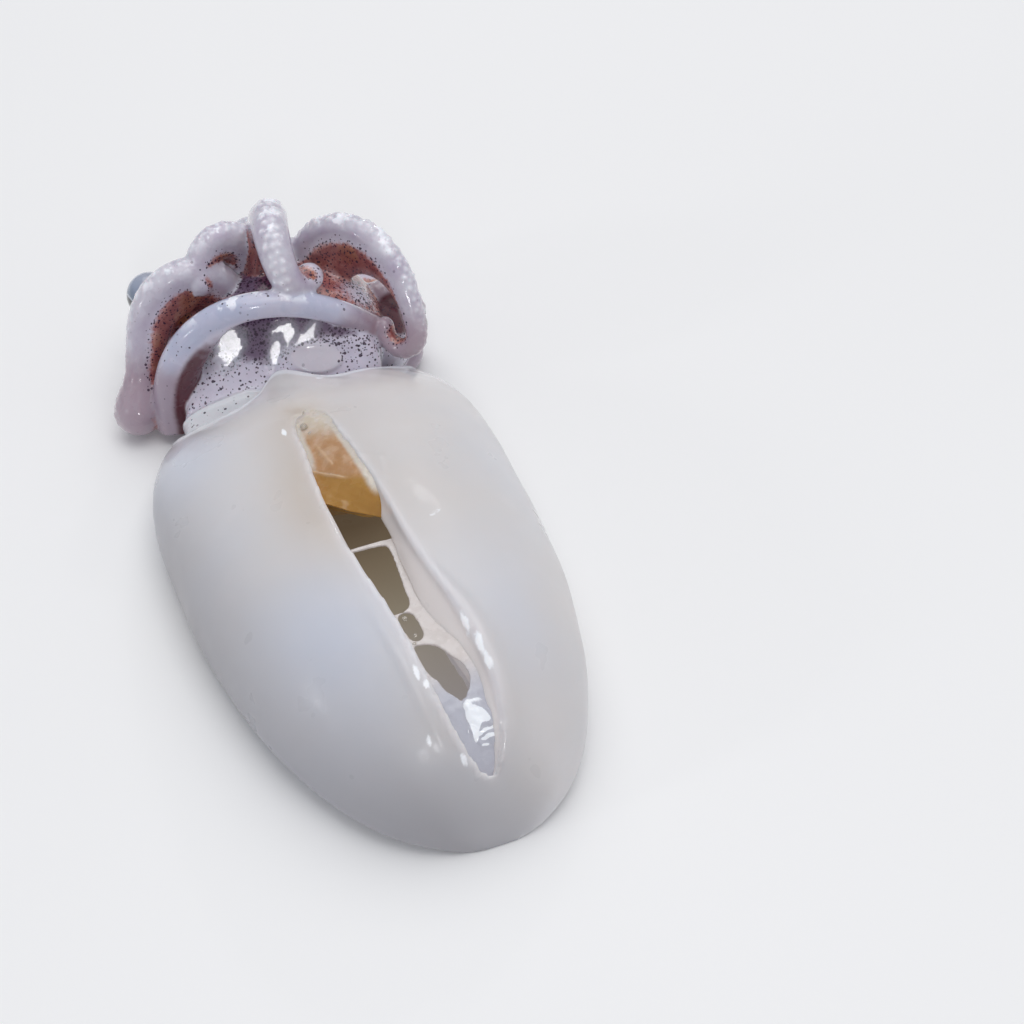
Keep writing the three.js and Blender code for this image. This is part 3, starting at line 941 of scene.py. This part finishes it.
def make_slit_web():
    place, size = REAR_MEMBRANE
    rear = ellipsoid((*place, 0), size, 72, 48)
    co = points(rear)
    co[:, 2] += film_height(co[:, 1]) + 0.5
    co[:, 2] += np.sin(2.4 * co[:, 0] + 1.6 * co[:, 1]) * 0.16 + 0.2 * waves(co, 2.4, 31, 2)
    move_points(rear, co)
    knot = ellipsoid((1.1, KNOT_Y, film_height(KNOT_Y) + 0.2), (0.8, 1.2, 0.5), 32, 20)
    mesh = fused(joined([film_sheet(), rear, knot]), *WEB_FUSING)
    co = points(mesh)
    move_points(mesh, co + normals(mesh) * (0.05 * waves(co, 2.5, 33, 2))[:, None])
    x, y, z = points(mesh).T
    raised = smooth(z - film_height(y), 0.3, 0.5)
    white = 0.7 * bell(y, KNOT_Y, 0.7)
    for outline in WHITE_STREAKS:
        white = np.maximum(white, within(rounded(outline), x, y))
    paint(mesh, white=relaxed(mesh, white * raised, 3), rear=smooth(-y, 34, 41))
    piece("slit_web", mesh, web_material(), "mantle_flesh")


def web_material():
    nodes = Nodes(
        "web_of_the_slit", IOR=1.38, Subsurface_Weight=0.5, Subsurface_Radius=(1.0, 0.9, 0.85),
        Subsurface_Scale=0.001, Coat_Roughness=0.05, Emission_Strength=1.0,
    )
    # white streaks, lightened further and glowing as a painted highlight
    streaks = (nodes.attribute("white") + nodes.uneven(0.0009, 3, 0.7)).ramp(0.3, 0.75)
    tone = nodes.stained(
        nodes.noise(0.002, 3).tones((0.35, (200, 193, 190)), (0.65, (209, 203, 201))),
        ("rear", 1, (184, 185, 195)),
        (streaks, 1, (234, 237, 242)),
    )
    # painted glow, given off as emission over the film and the rear membrane
    glow = nodes.mix(nodes.attribute("rear"), (0.05, 0.046, 0.046), (0.055, 0.056, 0.064))
    return nodes.feed(
        Base_Color=tone, Roughness=nodes.noise(0.002, 2).ramp(0.3, 0.7, 0.2, 0.32),
        Normal=nodes.bump(nodes.noise(0.0008, 3), 0.0001, 0.4),
        Emission_Color=nodes.mix(streaks, glow, (0.16, 0.165, 0.175)),
        Coat_Weight=streaks * 0.3 + 0.4,
    )


def make_bubbles():
    mesh = joined([ellipsoid(place, (size, size, size * 0.8), 32, 20) for place, size in BUBBLES])
    nodes = Nodes(
        "bubble_film", IOR=1.33, Transmission_Weight=0.75, Coat_Weight=1.0, Coat_Roughness=0.02,
    )
    tone = nodes.noise(0.001, 2).tones((0.4, (226, 220, 206)), (0.6, (238, 236, 232)))
    rough = nodes.noise(0.001, 2).ramp(0.3, 0.7, 0.04, 0.1)
    piece("slit_bubbles", mesh, nodes.feed(Base_Color=tone, Roughness=rough), "mantle_flesh")


# Tissue in the slit

# Membrane over the tissue, from the slit's front end to the edge where the pocket shows:
# where that edge meets the left and the right lip, and how far the membrane lies below the
# back at the front end and at that edge
MEMBRANE_EDGE = (11.6, 0.3)
MEMBRANE_DEPTHS = (0.3, 4.4)
MEMBRANE_FOLD = 8.6
MEMBRANE_THICKNESS = 0.7


def membrane_depth(across, ahead):
    """How far below the back the membrane lies: across from lip to lip, ahead of its edge."""
    shallow, deep = MEMBRANE_DEPTHS
    fall = lerp(17, 3.2, smooth(across, 0, 1))
    return shallow + (deep - shallow) * np.exp(-np.maximum(ahead, 0) / fall)


def make_front_membrane():
    bm = bmesh.new()
    bmesh.ops.create_grid(bm, x_segments=70, y_segments=170, size=1)
    mesh = as_mesh(bm, "membrane")
    co = points(mesh)
    across, along = (co[:, 0] + 1) / 2, (1 - co[:, 1]) / 2
    edge = lerp(*MEMBRANE_EDGE, across) - np.sin(math.pi * across)
    y = lerp(SLIT_FRONT + 0.6, edge, along)
    x = slit_middle(y) + (2 * across - 1) * (slit_half(y) * 1.02 + 0.5)
    ahead = y - edge
    height = ridge_height(y) - membrane_depth(across, ahead) + 0.4 * smooth(y, 27, 34)
    co = np.stack([x, y, height], 1)
    fold = bell(ahead + 3.2 * (across - 0.5) ** 2, MEMBRANE_FOLD, 0.45)
    fold *= 1 - smooth(across, 0.45, 0.7)
    crease = bell(x + 3.4 + 0.1 * (y - 20), 0, 0.35) * smooth(y, 16, 19) * (1 - smooth(y, 23, 26))
    co[:, 2] += 0.28 * fold + 0.2 * crease + 0.12 * waves(co, 6, 41, 3)
    move_points(mesh, co)
    right_band = smooth(across, 0.76, 0.93) * smooth(ahead, 2, 7)
    left_band = (1 - smooth(across, 0.1, 0.3)) * smooth(y, 14, 22)
    paint(
        mesh,
        fold=np.maximum(fold, 0.6 * crease),
        front=smooth(ahead, MEMBRANE_FOLD - 1, MEMBRANE_FOLD + 1.5),
        end=smooth(y + 0.8 * x, 22, 31),
        rim=np.maximum(right_band, left_band),
    )
    mesh = with_modifiers(mesh, ("SOLIDIFY", {"thickness": MEMBRANE_THICKNESS, "offset": -1}))
    piece("front_membrane", mesh, membrane_material(), "inner_tissue")


def membrane_material():
    nodes = Nodes(
        "clear_membrane", IOR=1.36, Subsurface_Weight=0.4, Subsurface_Radius=(1.0, 0.7, 0.4),
        Subsurface_Scale=0.002, Coat_Weight=1.0, Coat_Roughness=0.05,
    )
    amber = nodes.noise(0.006, 2).tones(
        (0.3, (164, 118, 44)), (0.55, (170, 124, 50)), (0.8, (178, 136, 66)),
    )
    pale = nodes.noise(0.003, 3).tones(
        (0.35, (180, 134, 88)), (0.55, (190, 150, 112)), (0.75, (204, 172, 146)),
    )
    beige = nodes.noise(0.003, 3).tones(
        (0.35, (206, 192, 172)), (0.6, (214, 204, 194)), (0.8, (222, 214, 210)),
    )
    tone = nodes.mix(nodes.attribute("front"), amber, pale)
    tone = nodes.mix(nodes.attribute("end"), tone, beige)
    rim = (nodes.attribute("rim") + nodes.uneven(0.002, 3, 0.4)).ramp(0.1, 0.95)
    return nodes.feed(
        Base_Color=nodes.stained(tone, (rim, 1, (210, 200, 188)), ("fold", 0.7, (212, 182, 150))),
        Roughness=nodes.noise(0.003, 2).ramp(0.3, 0.7, 0.2, 0.36),
        Normal=nodes.bump(nodes.noise(0.0018, 3), 0.0002, 0.3),
    )


def make_tissue():
    mesh = loft(TISSUE, 120, 110)
    co = points(mesh)
    outward = normals(mesh)
    along = co[:, 1] + 0.55 * (co[:, 0] + 4)
    fold = bell(along, 20.6, 0.55) * smooth(outward[:, 2], 0.2, 0.8)
    move_points(mesh, co + outward * (0.45 * fold + 0.14 * waves(co, 9, 21, 3))[:, None])
    paint(mesh, fold=fold, ahead=smooth(along, 18, 30))
    nodes = Nodes(
        "amber_tissue", IOR=1.38, Subsurface_Weight=0.35, Subsurface_Radius=(1.0, 0.45, 0.15),
        Subsurface_Scale=0.002, Coat_Weight=0.8, Coat_Roughness=0.08,
    )
    tone = nodes.noise(0.006, 4).tones(
        (0.3, (176, 128, 52)), (0.5, (194, 148, 70)), (0.75, (202, 160, 92)),
    )
    tone = nodes.stained(tone, ("ahead", 1, (200, 172, 138)), ("fold", 0.7, (218, 192, 150)))
    material = nodes.feed(
        Base_Color=tone,
        Roughness=nodes.noise(0.004, 3).ramp(0.3, 0.7, 0.25, 0.45),
        Normal=nodes.bump(nodes.noise(0.002, 4), 0.0003, 0.4),
    )
    piece("amber_tissue", mesh, material, "inner_tissue", "inner_tissue")


# Head, arms and tentacles

def limb_frames(arm, steps):
    """Places and directions along a limb: it turns in its plane and drifts sideways."""
    heading, lean, lift = (math.radians(arm[k]) for k in ("heading", "lean", "lift"))
    forward = np.array([math.cos(heading), math.sin(heading), 0])
    level = np.cross(forward, (0, 0, 1))
    up = np.array([0, 0, math.cos(lean)]) + level * math.sin(lean)
    side = np.cross(forward, up)
    first = forward * math.cos(lift) + up * math.sin(lift)
    second = forward * math.sin(lift) - up * math.cos(lift)
    start, end = arm["bend"]
    coil, coil_from = arm["coil"]
    place = np.array(arm["root"], float)
    frames = {"point": [], "inward": [], "beside": []}
    for i in range(steps + 1):
        t = i / steps
        s = min(max((t - start) / (end - start), 0), 1)
        extra = coil * max((t - coil_from) / (1.001 - coil_from), 0)
        turned = math.radians(arm["turn"] * s * s * (3 - 2 * s) + extra)
        swing = math.radians(arm["drift"]) * t
        flat = first * math.cos(turned) + second * math.sin(turned)
        inward = -first * math.sin(turned) + second * math.cos(turned)
        ahead = flat * math.cos(swing) + side * math.sin(swing)
        beside = -flat * math.sin(swing) + side * math.cos(swing)
        for key, value in (("point", place), ("inward", inward), ("beside", beside)):
            frames[key].append(value)
        place = place + ahead * arm["length"] / steps
    return {key: np.array(value) for key, value in frames.items()}


def limb_size(arm, t):
    """A limb's radius at t along it, and the share left of it where the tip rounds off."""
    taper = lerp(arm["radius"][0], arm["radius"][1], t) + arm["knob"] * smooth(t, 0.8, 0.93)
    over = np.clip((t * arm["length"] - arm["length"] + taper) / taper, 0, 1)
    return taper, np.sqrt(np.clip(1 - over ** 2, 0, 1))


def limb(arm, around, along):
    """An arm or a tentacle, with the web on the inner side of its curl, and its frames."""
    frames = limb_frames(arm, along)

    def at(angle, t):
        row = np.round(t * along).astype(int)
        taper, rounding = limb_size(arm, t)
        radius = np.where(row == 0, 0, taper * rounding)
        fade = 1 - smooth(t, 0.3, arm["coil"][1] * 0.95)
        web = arm["web"] * rounding * fade * np.maximum(-np.cos(angle), 0)
        place = frames["point"][row] + frames["inward"][row] * (
            -radius * np.cos(angle) * 0.94 + web)[:, None]
        place = place + frames["beside"][row] * (radius * np.sin(angle))[:, None]
        place[:, 2] = np.maximum(place[:, 2], 0)
        return place

    return skin(around, along, at), frames


def limb_values(arm, frames, co):
    """For points on a limb: place along it, and how far inward, in radii: -1 at the suckers."""
    along = len(frames["point"]) - 1
    gaps = ((co[:, None, :] - frames["point"][None, ::3, :]) ** 2).sum(2)
    row = np.minimum(gaps.argmin(1) * 3, along)
    away = co - frames["point"][row]
    inward = (away * frames["inward"][row]).sum(1)
    return row / along, inward / limb_size(arm, row / along)[0]


def sucker_domes(arm, frames, first, share):
    """Packed rows of low domes on the outer side of the curl, smaller towards the tip."""
    steps = len(frames["point"]) - 1
    domes = []
    place = first * arm["length"]
    row = 0
    while place < arm["length"] * 0.975:
        t = place / arm["length"]
        taper, rounding = limb_size(arm, np.array(t))
        radius = float(taper * rounding)
        size = share * float(taper) * (1 - 0.2 * t)
        step = SUCKER_SPACING[0] * size / radius
        row += 1
        for angle in (-step, 0, step) if row % 2 else (-step / 2, step / 2):
            angle += RNG.normal(0, 0.06)
            index = min(int(round((place + RNG.normal(0, 0.12)) / arm["length"] * steps)), steps)
            out = (-frames["inward"][index] * math.cos(angle)
                   + frames["beside"][index] * math.sin(angle))
            at = frames["point"][index] + out * radius * SUCKER_DEPTH
            big = size * RNG.uniform(0.85, 1.12)
            if at[2] > size:
                domes.append((at, big))
        place += size * SUCKER_SPACING[1]
    return domes


# Skin of the head that lies flat under its water film: middle in the head's frame,
# half widths across and up, lean of the upper end to the right in degrees
WET_FACETS = (
    ((-11.3, 4.2, 20.6), 2.9, 4.6, 22),
    ((0.1, 4.8, 22.4), 3.6, 3.3, 20),
    ((4.2, 4.9, 22.0), 5.2, 1.7, -58),
    ((-1.9, 2.9, 19.6), 1.5, 3.2, 8),
)
FACET_NORMAL = (0.128, -0.816, 0.5635)
FLATTENING = 0.95
# The smooth dome beside the neck: middle, half widths across and up
DOME = ((6.2, 3.1, 18.6), (5.8, 3.3))
# Middles of the pale patches between the arms, and of the hole in the right coil, which is painted
# dark as shade
PALE_PATCHES = ((-9, 15, 28), (15, 17, 24.5))
COIL_HOLE = (22, 19, 17.3)


def flattened(co, own):
    """The head's points with its wet facets pulled flat, and how wet each point is; the skin is
    lightened there as a painted highlight.
    """
    out = np.array(FACET_NORMAL) / np.linalg.norm(FACET_NORMAL)
    level = np.array((1, 0, 0)) - out * out[0]
    level /= np.linalg.norm(level)
    rise = np.cross(out, level)
    wet = np.zeros(len(co))
    for middle, wide, high, lean in WET_FACETS:
        away = co - np.array(middle)
        height = away @ out
        c, s = math.cos(math.radians(lean)), math.sin(math.radians(lean))
        u, v = away @ level, away @ rise
        reach = np.hypot((u * c - v * s) / wide, (u * s + v * c) / high)
        reach += 0.3 * waves(co, 3.4, 61, 3) + 0.12 * waves(co, 1.1, 62, 2)
        weight = own * (1 - smooth(reach, 0.8, 1.35)) * (np.abs(height) < 3)
        co = co - out * (height * FLATTENING * weight)[:, None]
        wet = np.maximum(wet, weight)
    return co, wet


def dome_reach(co):
    """Distance from the dome's middle in half widths: 1 at its edge."""
    (x, y, z), (wide, high) = DOME
    return np.hypot((co[:, 0] - x) / wide, np.hypot(co[:, 1] - y, co[:, 2] - z) / high)


def distance_from(middle, co):
    return np.linalg.norm(co - np.array(middle), axis=1)


def near_suckers(co, suckers):
    """1 at the middle of a sucker, 0 beyond its edge."""
    tree = KDTree(len(suckers))
    for number, (at, _) in enumerate(suckers):
        tree.insert(Vector(at), number)
    tree.balance()
    reach = np.zeros(len(co))
    for i, point in enumerate(co):
        _, number, gap = tree.find(Vector(point))
        reach[i] = gap / suckers[number][1]
    return 1 - smooth(reach, 0.75, 1.15)


def owners(co, parts):
    """Which of the parts each point lies on. A later part has to be clearly nearer."""
    nearest = np.full(len(co), np.inf)
    owner = np.zeros(len(co), int)
    for number, part in enumerate(parts):
        tree = tree_of(part[2])
        low, high = points(part[2]).min(0) - 1.5, points(part[2]).max(0) + 1.5
        for i in np.nonzero(((co > low) & (co < high)).all(1))[0]:
            found = tree.find_nearest(Vector(co[i]), 2.0)
            if found[0] is not None and found[3] < nearest[i] - 0.02:
                nearest[i] = found[3]
                owner[i] = number
    return owner


def head_parts():
    """The head, the arms and the tentacles as (kind, facts, mesh, frames), and the suckers."""
    cores = [loft(HEAD, 120, 110)]
    cores += [ellipsoid(middle, size) for middle, size in EYE_SWELLINGS]
    parts = [("head", None, core, None) for core in cores]
    suckers = []
    for row, (first, share) in zip(ARMS, SUCKERS):
        arm = dict(zip(LIMB_COLUMNS, row))
        mesh, frames = limb(arm, 36, 144)
        parts.append(("arm", arm, mesh, frames))
        suckers += sucker_domes(arm, frames, first, share)
    for row in TENTACLES:
        tentacle = dict(zip(LIMB_COLUMNS, row))
        mesh, frames = limb(tentacle, 36, 96)
        parts.append(("tentacle", tentacle, mesh, frames))
    return parts, suckers


def part_areas(co, parts):
    """Which kind of part each point lies on, how far along it and how far inward."""
    owner = owners(co, parts)
    inward, along = np.zeros(len(co)), np.zeros(len(co))
    on = {kind: np.zeros(len(co)) for kind in ("head", "arm", "tentacle")}
    for number, (kind, facts, _, frames) in enumerate(parts):
        own = owner == number
        on[kind][own] = 1
        if frames and own.any():
            along[own], inward[own] = limb_values(facts, frames, co[own])
    return on, inward, along


def brown_areas(co, on, inward, along):
    """Red-brown skin inside the curls and on the crown, and maroon painted shade in deep places: on
    the inner side of the tentacles' roots and in the hole of the right coil.
    """
    x, y, z = co.T
    crown = on["head"] * smooth(y, 7.5, 10.5) * smooth(z, 13, 19) * (1 - smooth(y, 27, 32))
    for middle in PALE_PATCHES:
        crown = crown * (1 - 0.85 * bell(distance_from(middle, co), 0, 4))
    brown = np.maximum(on["arm"] * smooth(inward, 0.25, 0.95), 0.85 * crown)
    coil = on["arm"] * smooth(x, 13, 15) * (1 - smooth(x, 19, 22)) * smooth(y, 3, 5) * (along > 0.7)
    # painted shade: dark maroon on the inner side of the tentacles' roots and in the hole of the
    # right coil
    maroon = on["tentacle"] * smooth(inward, 0.15, 0.9) * (1 - smooth(along, 0.28, 0.5))
    hole_shade = 1 - smooth(distance_from(COIL_HOLE, co), 3.5, 6)
    return brown * (1 - 0.8 * coil), np.maximum(maroon, hole_shade)


def spot_areas(co, on, inward, collar, dome):
    """Where the dark spots are dense, and the purple haze under them, partly the skin's own and
    partly painted shade below the tentacle.
    """
    x, y, z = co.T
    # painted shade under the tentacle, highest on the head and left of the middle
    shade = smooth(z, 16, 21) * bell(x, -6, 7) + 0.9 * smooth(z, 20, 23.5) * (1 - smooth(y, 8, 12))
    spots = on["head"] * (0.24 + 0.66 * smooth(z, 15, 22)) * (1 - 0.8 * collar) * (1 - dome)
    spots = np.maximum(spots, on["head"] * shade * (1 - dome))
    spots = np.maximum(spots, on["arm"] * 0.65 * smooth(inward, 0.1, 0.6) * smooth(z, 6, 16))
    return np.maximum(spots, on["tentacle"] * 0.02), on["head"] * shade


def make_head():
    parts, suckers = head_parts()
    domes = [ellipsoid(at, (size, size, size), 12, 8) for at, size in suckers]
    mesh = fused(joined([part[2] for part in parts] + domes), *HEAD_FUSING)
    sockets = [ellipsoid(middle, (EYE_RADIUS + SOCKET_GAP,) * 3) for middle in EYES.values()]
    mesh = cut(mesh, joined(sockets))
    co = points(mesh)
    out = normals(mesh)
    on, inward, along = part_areas(co, parts)

    # the neck's collar with its brim, the smooth dome beside it, and the flat wet facets
    x, y, z = co.T
    edge = -3 - 0.32 * np.maximum(-7.5 - x, 0) - 0.25 * np.maximum(x - 8, 0)
    collar = on["head"] * (1 - smooth(y - edge, -0.35, 0.35))
    # the brim is raised, and lightened in colour as a painted highlight along it
    brim = on["head"] * bell(y, edge - 0.3, 0.5)
    dome = on["head"] * (1 - smooth(dome_reach(co), 0.85, 1.1)) * smooth(z, 12, 14)
    top = lerp(25, 33, smooth(x, 0, 15))
    # painted shade: arms and tentacles turn mauve lower down, less so on the front arms
    mauve = (1 - on["head"]) * (1 - smooth(z, top - 15, top)) * (1 - 0.7 * smooth(y, 22, 30))
    # painted highlight: the upward-facing tops of the arms and tentacles are whitened
    streak = (1 - on["head"]) * smooth(out[:, 2], 0.62, 0.9) * smooth(z, 20, 30)
    brown, maroon = brown_areas(co, on, inward, along)
    spots, haze_and_shade = spot_areas(co, on, inward, collar, dome)
    co = co + out * (0.3 * collar + 0.25 * brim + 0.5 * dome)[:, None]
    co, wet = flattened(co, on["head"] * (1 - dome))
    cups = on["arm"] * near_suckers(co, suckers)
    lids = np.zeros(len(co))
    for middle in EYES.values():
        lids = np.maximum(lids, bell(distance_from(middle, co), EYE_RADIUS + 0.5, 0.55))
    areas = {
        "brown": brown, "maroon": maroon, "spots": spots, "dark": haze_and_shade, "neck": collar,
        "brim": brim, "dome": dome, "wet": wet, "lids": lids, "streak": streak,
        "mauve": np.minimum(mauve * (1 + 0.5 * on["tentacle"]), 1),
        "pale": on["arm"] * (1 - smooth(inward, 0, 0.9)),
        # painted shade: arms darker from the suckers towards the inner side of the curl
        "flank": on["arm"] * smooth(inward, -0.9, 0.4),
        "band": on["tentacle"] * (1 - smooth(inward, 0.1, 0.7)),
        "tip": on["tentacle"] * smooth(along, 0.88, 0.97),
    }
    move_points(mesh, in_head(co))
    paint(mesh, cups=relaxed(mesh, cups, 1))
    paint(mesh, **{name: relaxed(mesh, value, 4) for name, value in areas.items()})
    piece("head_skin", mesh, skin_material(), "speckled_skin", "head_and_arms")


def spotted(nodes, tone):
    """Pigment spots: a dot in some of the cells, more of them where "spots" is high."""
    density = nodes.attribute("spots")
    larger = density * (1 - nodes.attribute("brown") * 0.75)
    for size, density, share in ((0.0006, density, 1.25), (0.0008, larger, 1.15),
                                 (0.001, larger, 0.4)):
        from_middle, chance, width = nodes.cells(size)
        present = (density * share - chance).ramp(-0.02, 0.02)
        dot = (width * 0.2 + 0.23 - from_middle).ramp(0.0, 0.07)
        tone = nodes.stained(tone, (dot * present, 0.9, (52, 28, 54)))
    return tone


def outer_skin(nodes, streak):
    """Lilac head, pale arms with whiter suckers, blue-grey tentacles, with painted mauve shade
    lower down and towards the arms' inner sides, and painted highlights along the tops.
    """
    arms = nodes.stained(
        nodes.noise(0.005, 4).tones(
            (0.3, (186, 176, 196)), (0.5, (202, 197, 210)), (0.75, (218, 217, 227)),
        ),
        # painted shade towards the arms' inner sides
        ("flank", 0.4, (172, 158, 178)),
        ("cups", 0.85, (232, 232, 240)),
    )
    tentacles = nodes.noise(0.01, 3).tones(
        (0.3, (182, 188, 212)), (0.5, (194, 195, 216)), (0.75, (210, 204, 216)),
    )
    head = nodes.noise(0.012, 3).tones(
        (0.3, (204, 196, 214)), (0.5, (216, 210, 226)), (0.72, (224, 220, 234)),
    )
    tone = nodes.stained(head, ("neck", 0.85, (224, 226, 230)))
    tone = nodes.mix(nodes.attribute("pale"), tone, arms)
    tone = nodes.mix(nodes.attribute("band"), tone, tentacles)
    return nodes.stained(
        tone,
        ("tip", 0.8, (168, 122, 128)),
        ("dome", 1, (214, 208, 218)),
        # painted mauve shade lower down
        ((nodes.attribute("mauve") + nodes.uneven(0.006, 3, 0.4)).ramp(0.1, 0.9), 0.75,
         (160, 136, 148)),
        # painted highlight along the tops
        (streak, 0.7, (244, 246, 252)),
    )


def inner_skin(nodes):
    """Red-brown skin on the inside of the curls, mottled pink and orange."""
    return nodes.stained(
        nodes.noise(0.003, 5, 0.65).tones(
            (0.3, (122, 64, 70)), (0.42, (154, 92, 92)), (0.52, (176, 114, 108)),
            (0.62, (192, 144, 140)), (0.76, (210, 186, 194)),
        ),
        (nodes.noise(0.006, 2).ramp(0.52, 0.68), 0.5, (186, 124, 68)),
        (nodes.attribute("brown").ramp(0.8, 1.0), 0.45, (110, 56, 60)),
    )


def skin_material():
    nodes = Nodes(
        "speckled_wet_skin", IOR=1.38, Subsurface_Weight=0.4, Subsurface_Radius=(1.0, 0.6, 0.65),
        Subsurface_Scale=0.0014, Coat_Weight=1.0, Coat_Roughness=0.035, Coat_IOR=1.38,
        Emission_Strength=1.0,
    )
    # painted highlights along the tops of the arms, broken up by noise
    streak = nodes.attribute("streak") * nodes.noise(0.0045, 3, 0.6).ramp(0.52, 0.6)
    grain = nodes.uneven(0.004, 4, 0.7) + nodes.uneven(0.0007, 2, 0.9)
    brown = (nodes.attribute("brown") + grain).ramp(0.2, 0.8)
    # painted shade: maroon in deep places
    maroon = (nodes.attribute("maroon") + nodes.uneven(0.003, 3, 0.5)).ramp(0.1, 0.9)
    # painted shade: purple under the tentacle, over the skin's own purple haze
    haze_and_shade = (nodes.attribute("dark") + nodes.uneven(0.003, 4, 0.9)).ramp(0.32, 0.85)
    tone = nodes.mix(brown, outer_skin(nodes, streak), inner_skin(nodes))
    tone = nodes.stained(tone, (maroon, 1, (92, 46, 56)), (haze_and_shade, 0.85, (84, 44, 86)))
    tone = nodes.stained(
        spotted(nodes, tone),
        ("lids", 0.9, (226, 228, 234)),
        # painted highlight along the collar's brim
        ("brim", 0.5, (226, 228, 234)),
        # painted highlight: the flat wet facets are lightened, over the reflection they catch
        ("wet", 0.45, (228, 230, 238)),
    )
    texture = nodes.noise(0.0016, 4) + nodes.noise(0.005, 2) * 0.8
    calm = 1 - nodes.attribute("wet") * 0.85
    # painted highlights, given off as emission: along the tops of the arms and as glints on the
    # suckers
    glint = nodes.attribute("cups").ramp(0.6, 1.0) * nodes.noise(0.0012, 2).ramp(0.5, 0.62)
    glow = nodes.mix(streak, (0.0, 0.0, 0.0), (0.1, 0.105, 0.115))
    return nodes.feed(
        Base_Color=tone, Roughness=nodes.noise(0.005, 3).ramp(0.3, 0.7, 0.18, 0.34),
        Normal=nodes.bump(texture * calm, 0.0003, 0.3),
        Emission_Color=nodes.mix(glint, glow, (0.25, 0.25, 0.27)),
    )


# Eyes

# Where each eye looks
GAZES = {"left": (-0.75, -0.45, -0.48), "right": (0.9, 0.2, 0.2)}


def make_eyes():
    for side, gaze in GAZES.items():
        mesh = ellipsoid(EYES[side], (EYE_RADIUS,) * 3, 64, 48)
        co = points(mesh)
        away = (co - np.array(EYES[side])) / EYE_RADIUS
        axis = np.array(gaze) / np.linalg.norm(gaze)
        paint(mesh, turn=np.arccos(np.clip(away @ axis, -1, 1)) / math.pi)
        move_points(mesh, in_head(co))
        piece("eyeball_" + side, mesh, eye_material(side), "eye", "eye_" + side)


def eye_material(side):
    """A dark pupil with a pale ring, on a mottled blue-grey ball: turn is 0 at the pupil."""
    nodes = Nodes(
        "eye_" + side + "_surface", IOR=1.4, Coat_Weight=1.0, Coat_Roughness=0.02,
        Subsurface_Weight=0.2, Subsurface_Radius=(0.8, 0.9, 1.0), Subsurface_Scale=0.001,
    )
    tone = (nodes.attribute("turn") + nodes.uneven(0.003, 3, 0.03)).tones(
        (0.0, (14, 14, 20)), (0.235, (20, 20, 28)), (0.262, (205, 212, 224)),
        (0.285, (120, 132, 152)), (0.42, (150, 160, 182)), (0.7, (172, 176, 192)),
    )
    mottle = nodes.noise(0.0015, 4).ramp(0.5, 0.7)
    return nodes.feed(
        Base_Color=nodes.stained(tone, (mottle, 0.3, (110, 118, 138))),
        Roughness=nodes.noise(0.002, 2).ramp(0.3, 0.7, 0.12, 0.22),
        Normal=nodes.bump(nodes.noise(0.001, 3), 0.00008, 0.3),
    )


make_camera()
make_studio()
make_mantle()
make_slit_web()
make_bubbles()
make_tissue()
make_front_membrane()
make_head()
make_eyes()
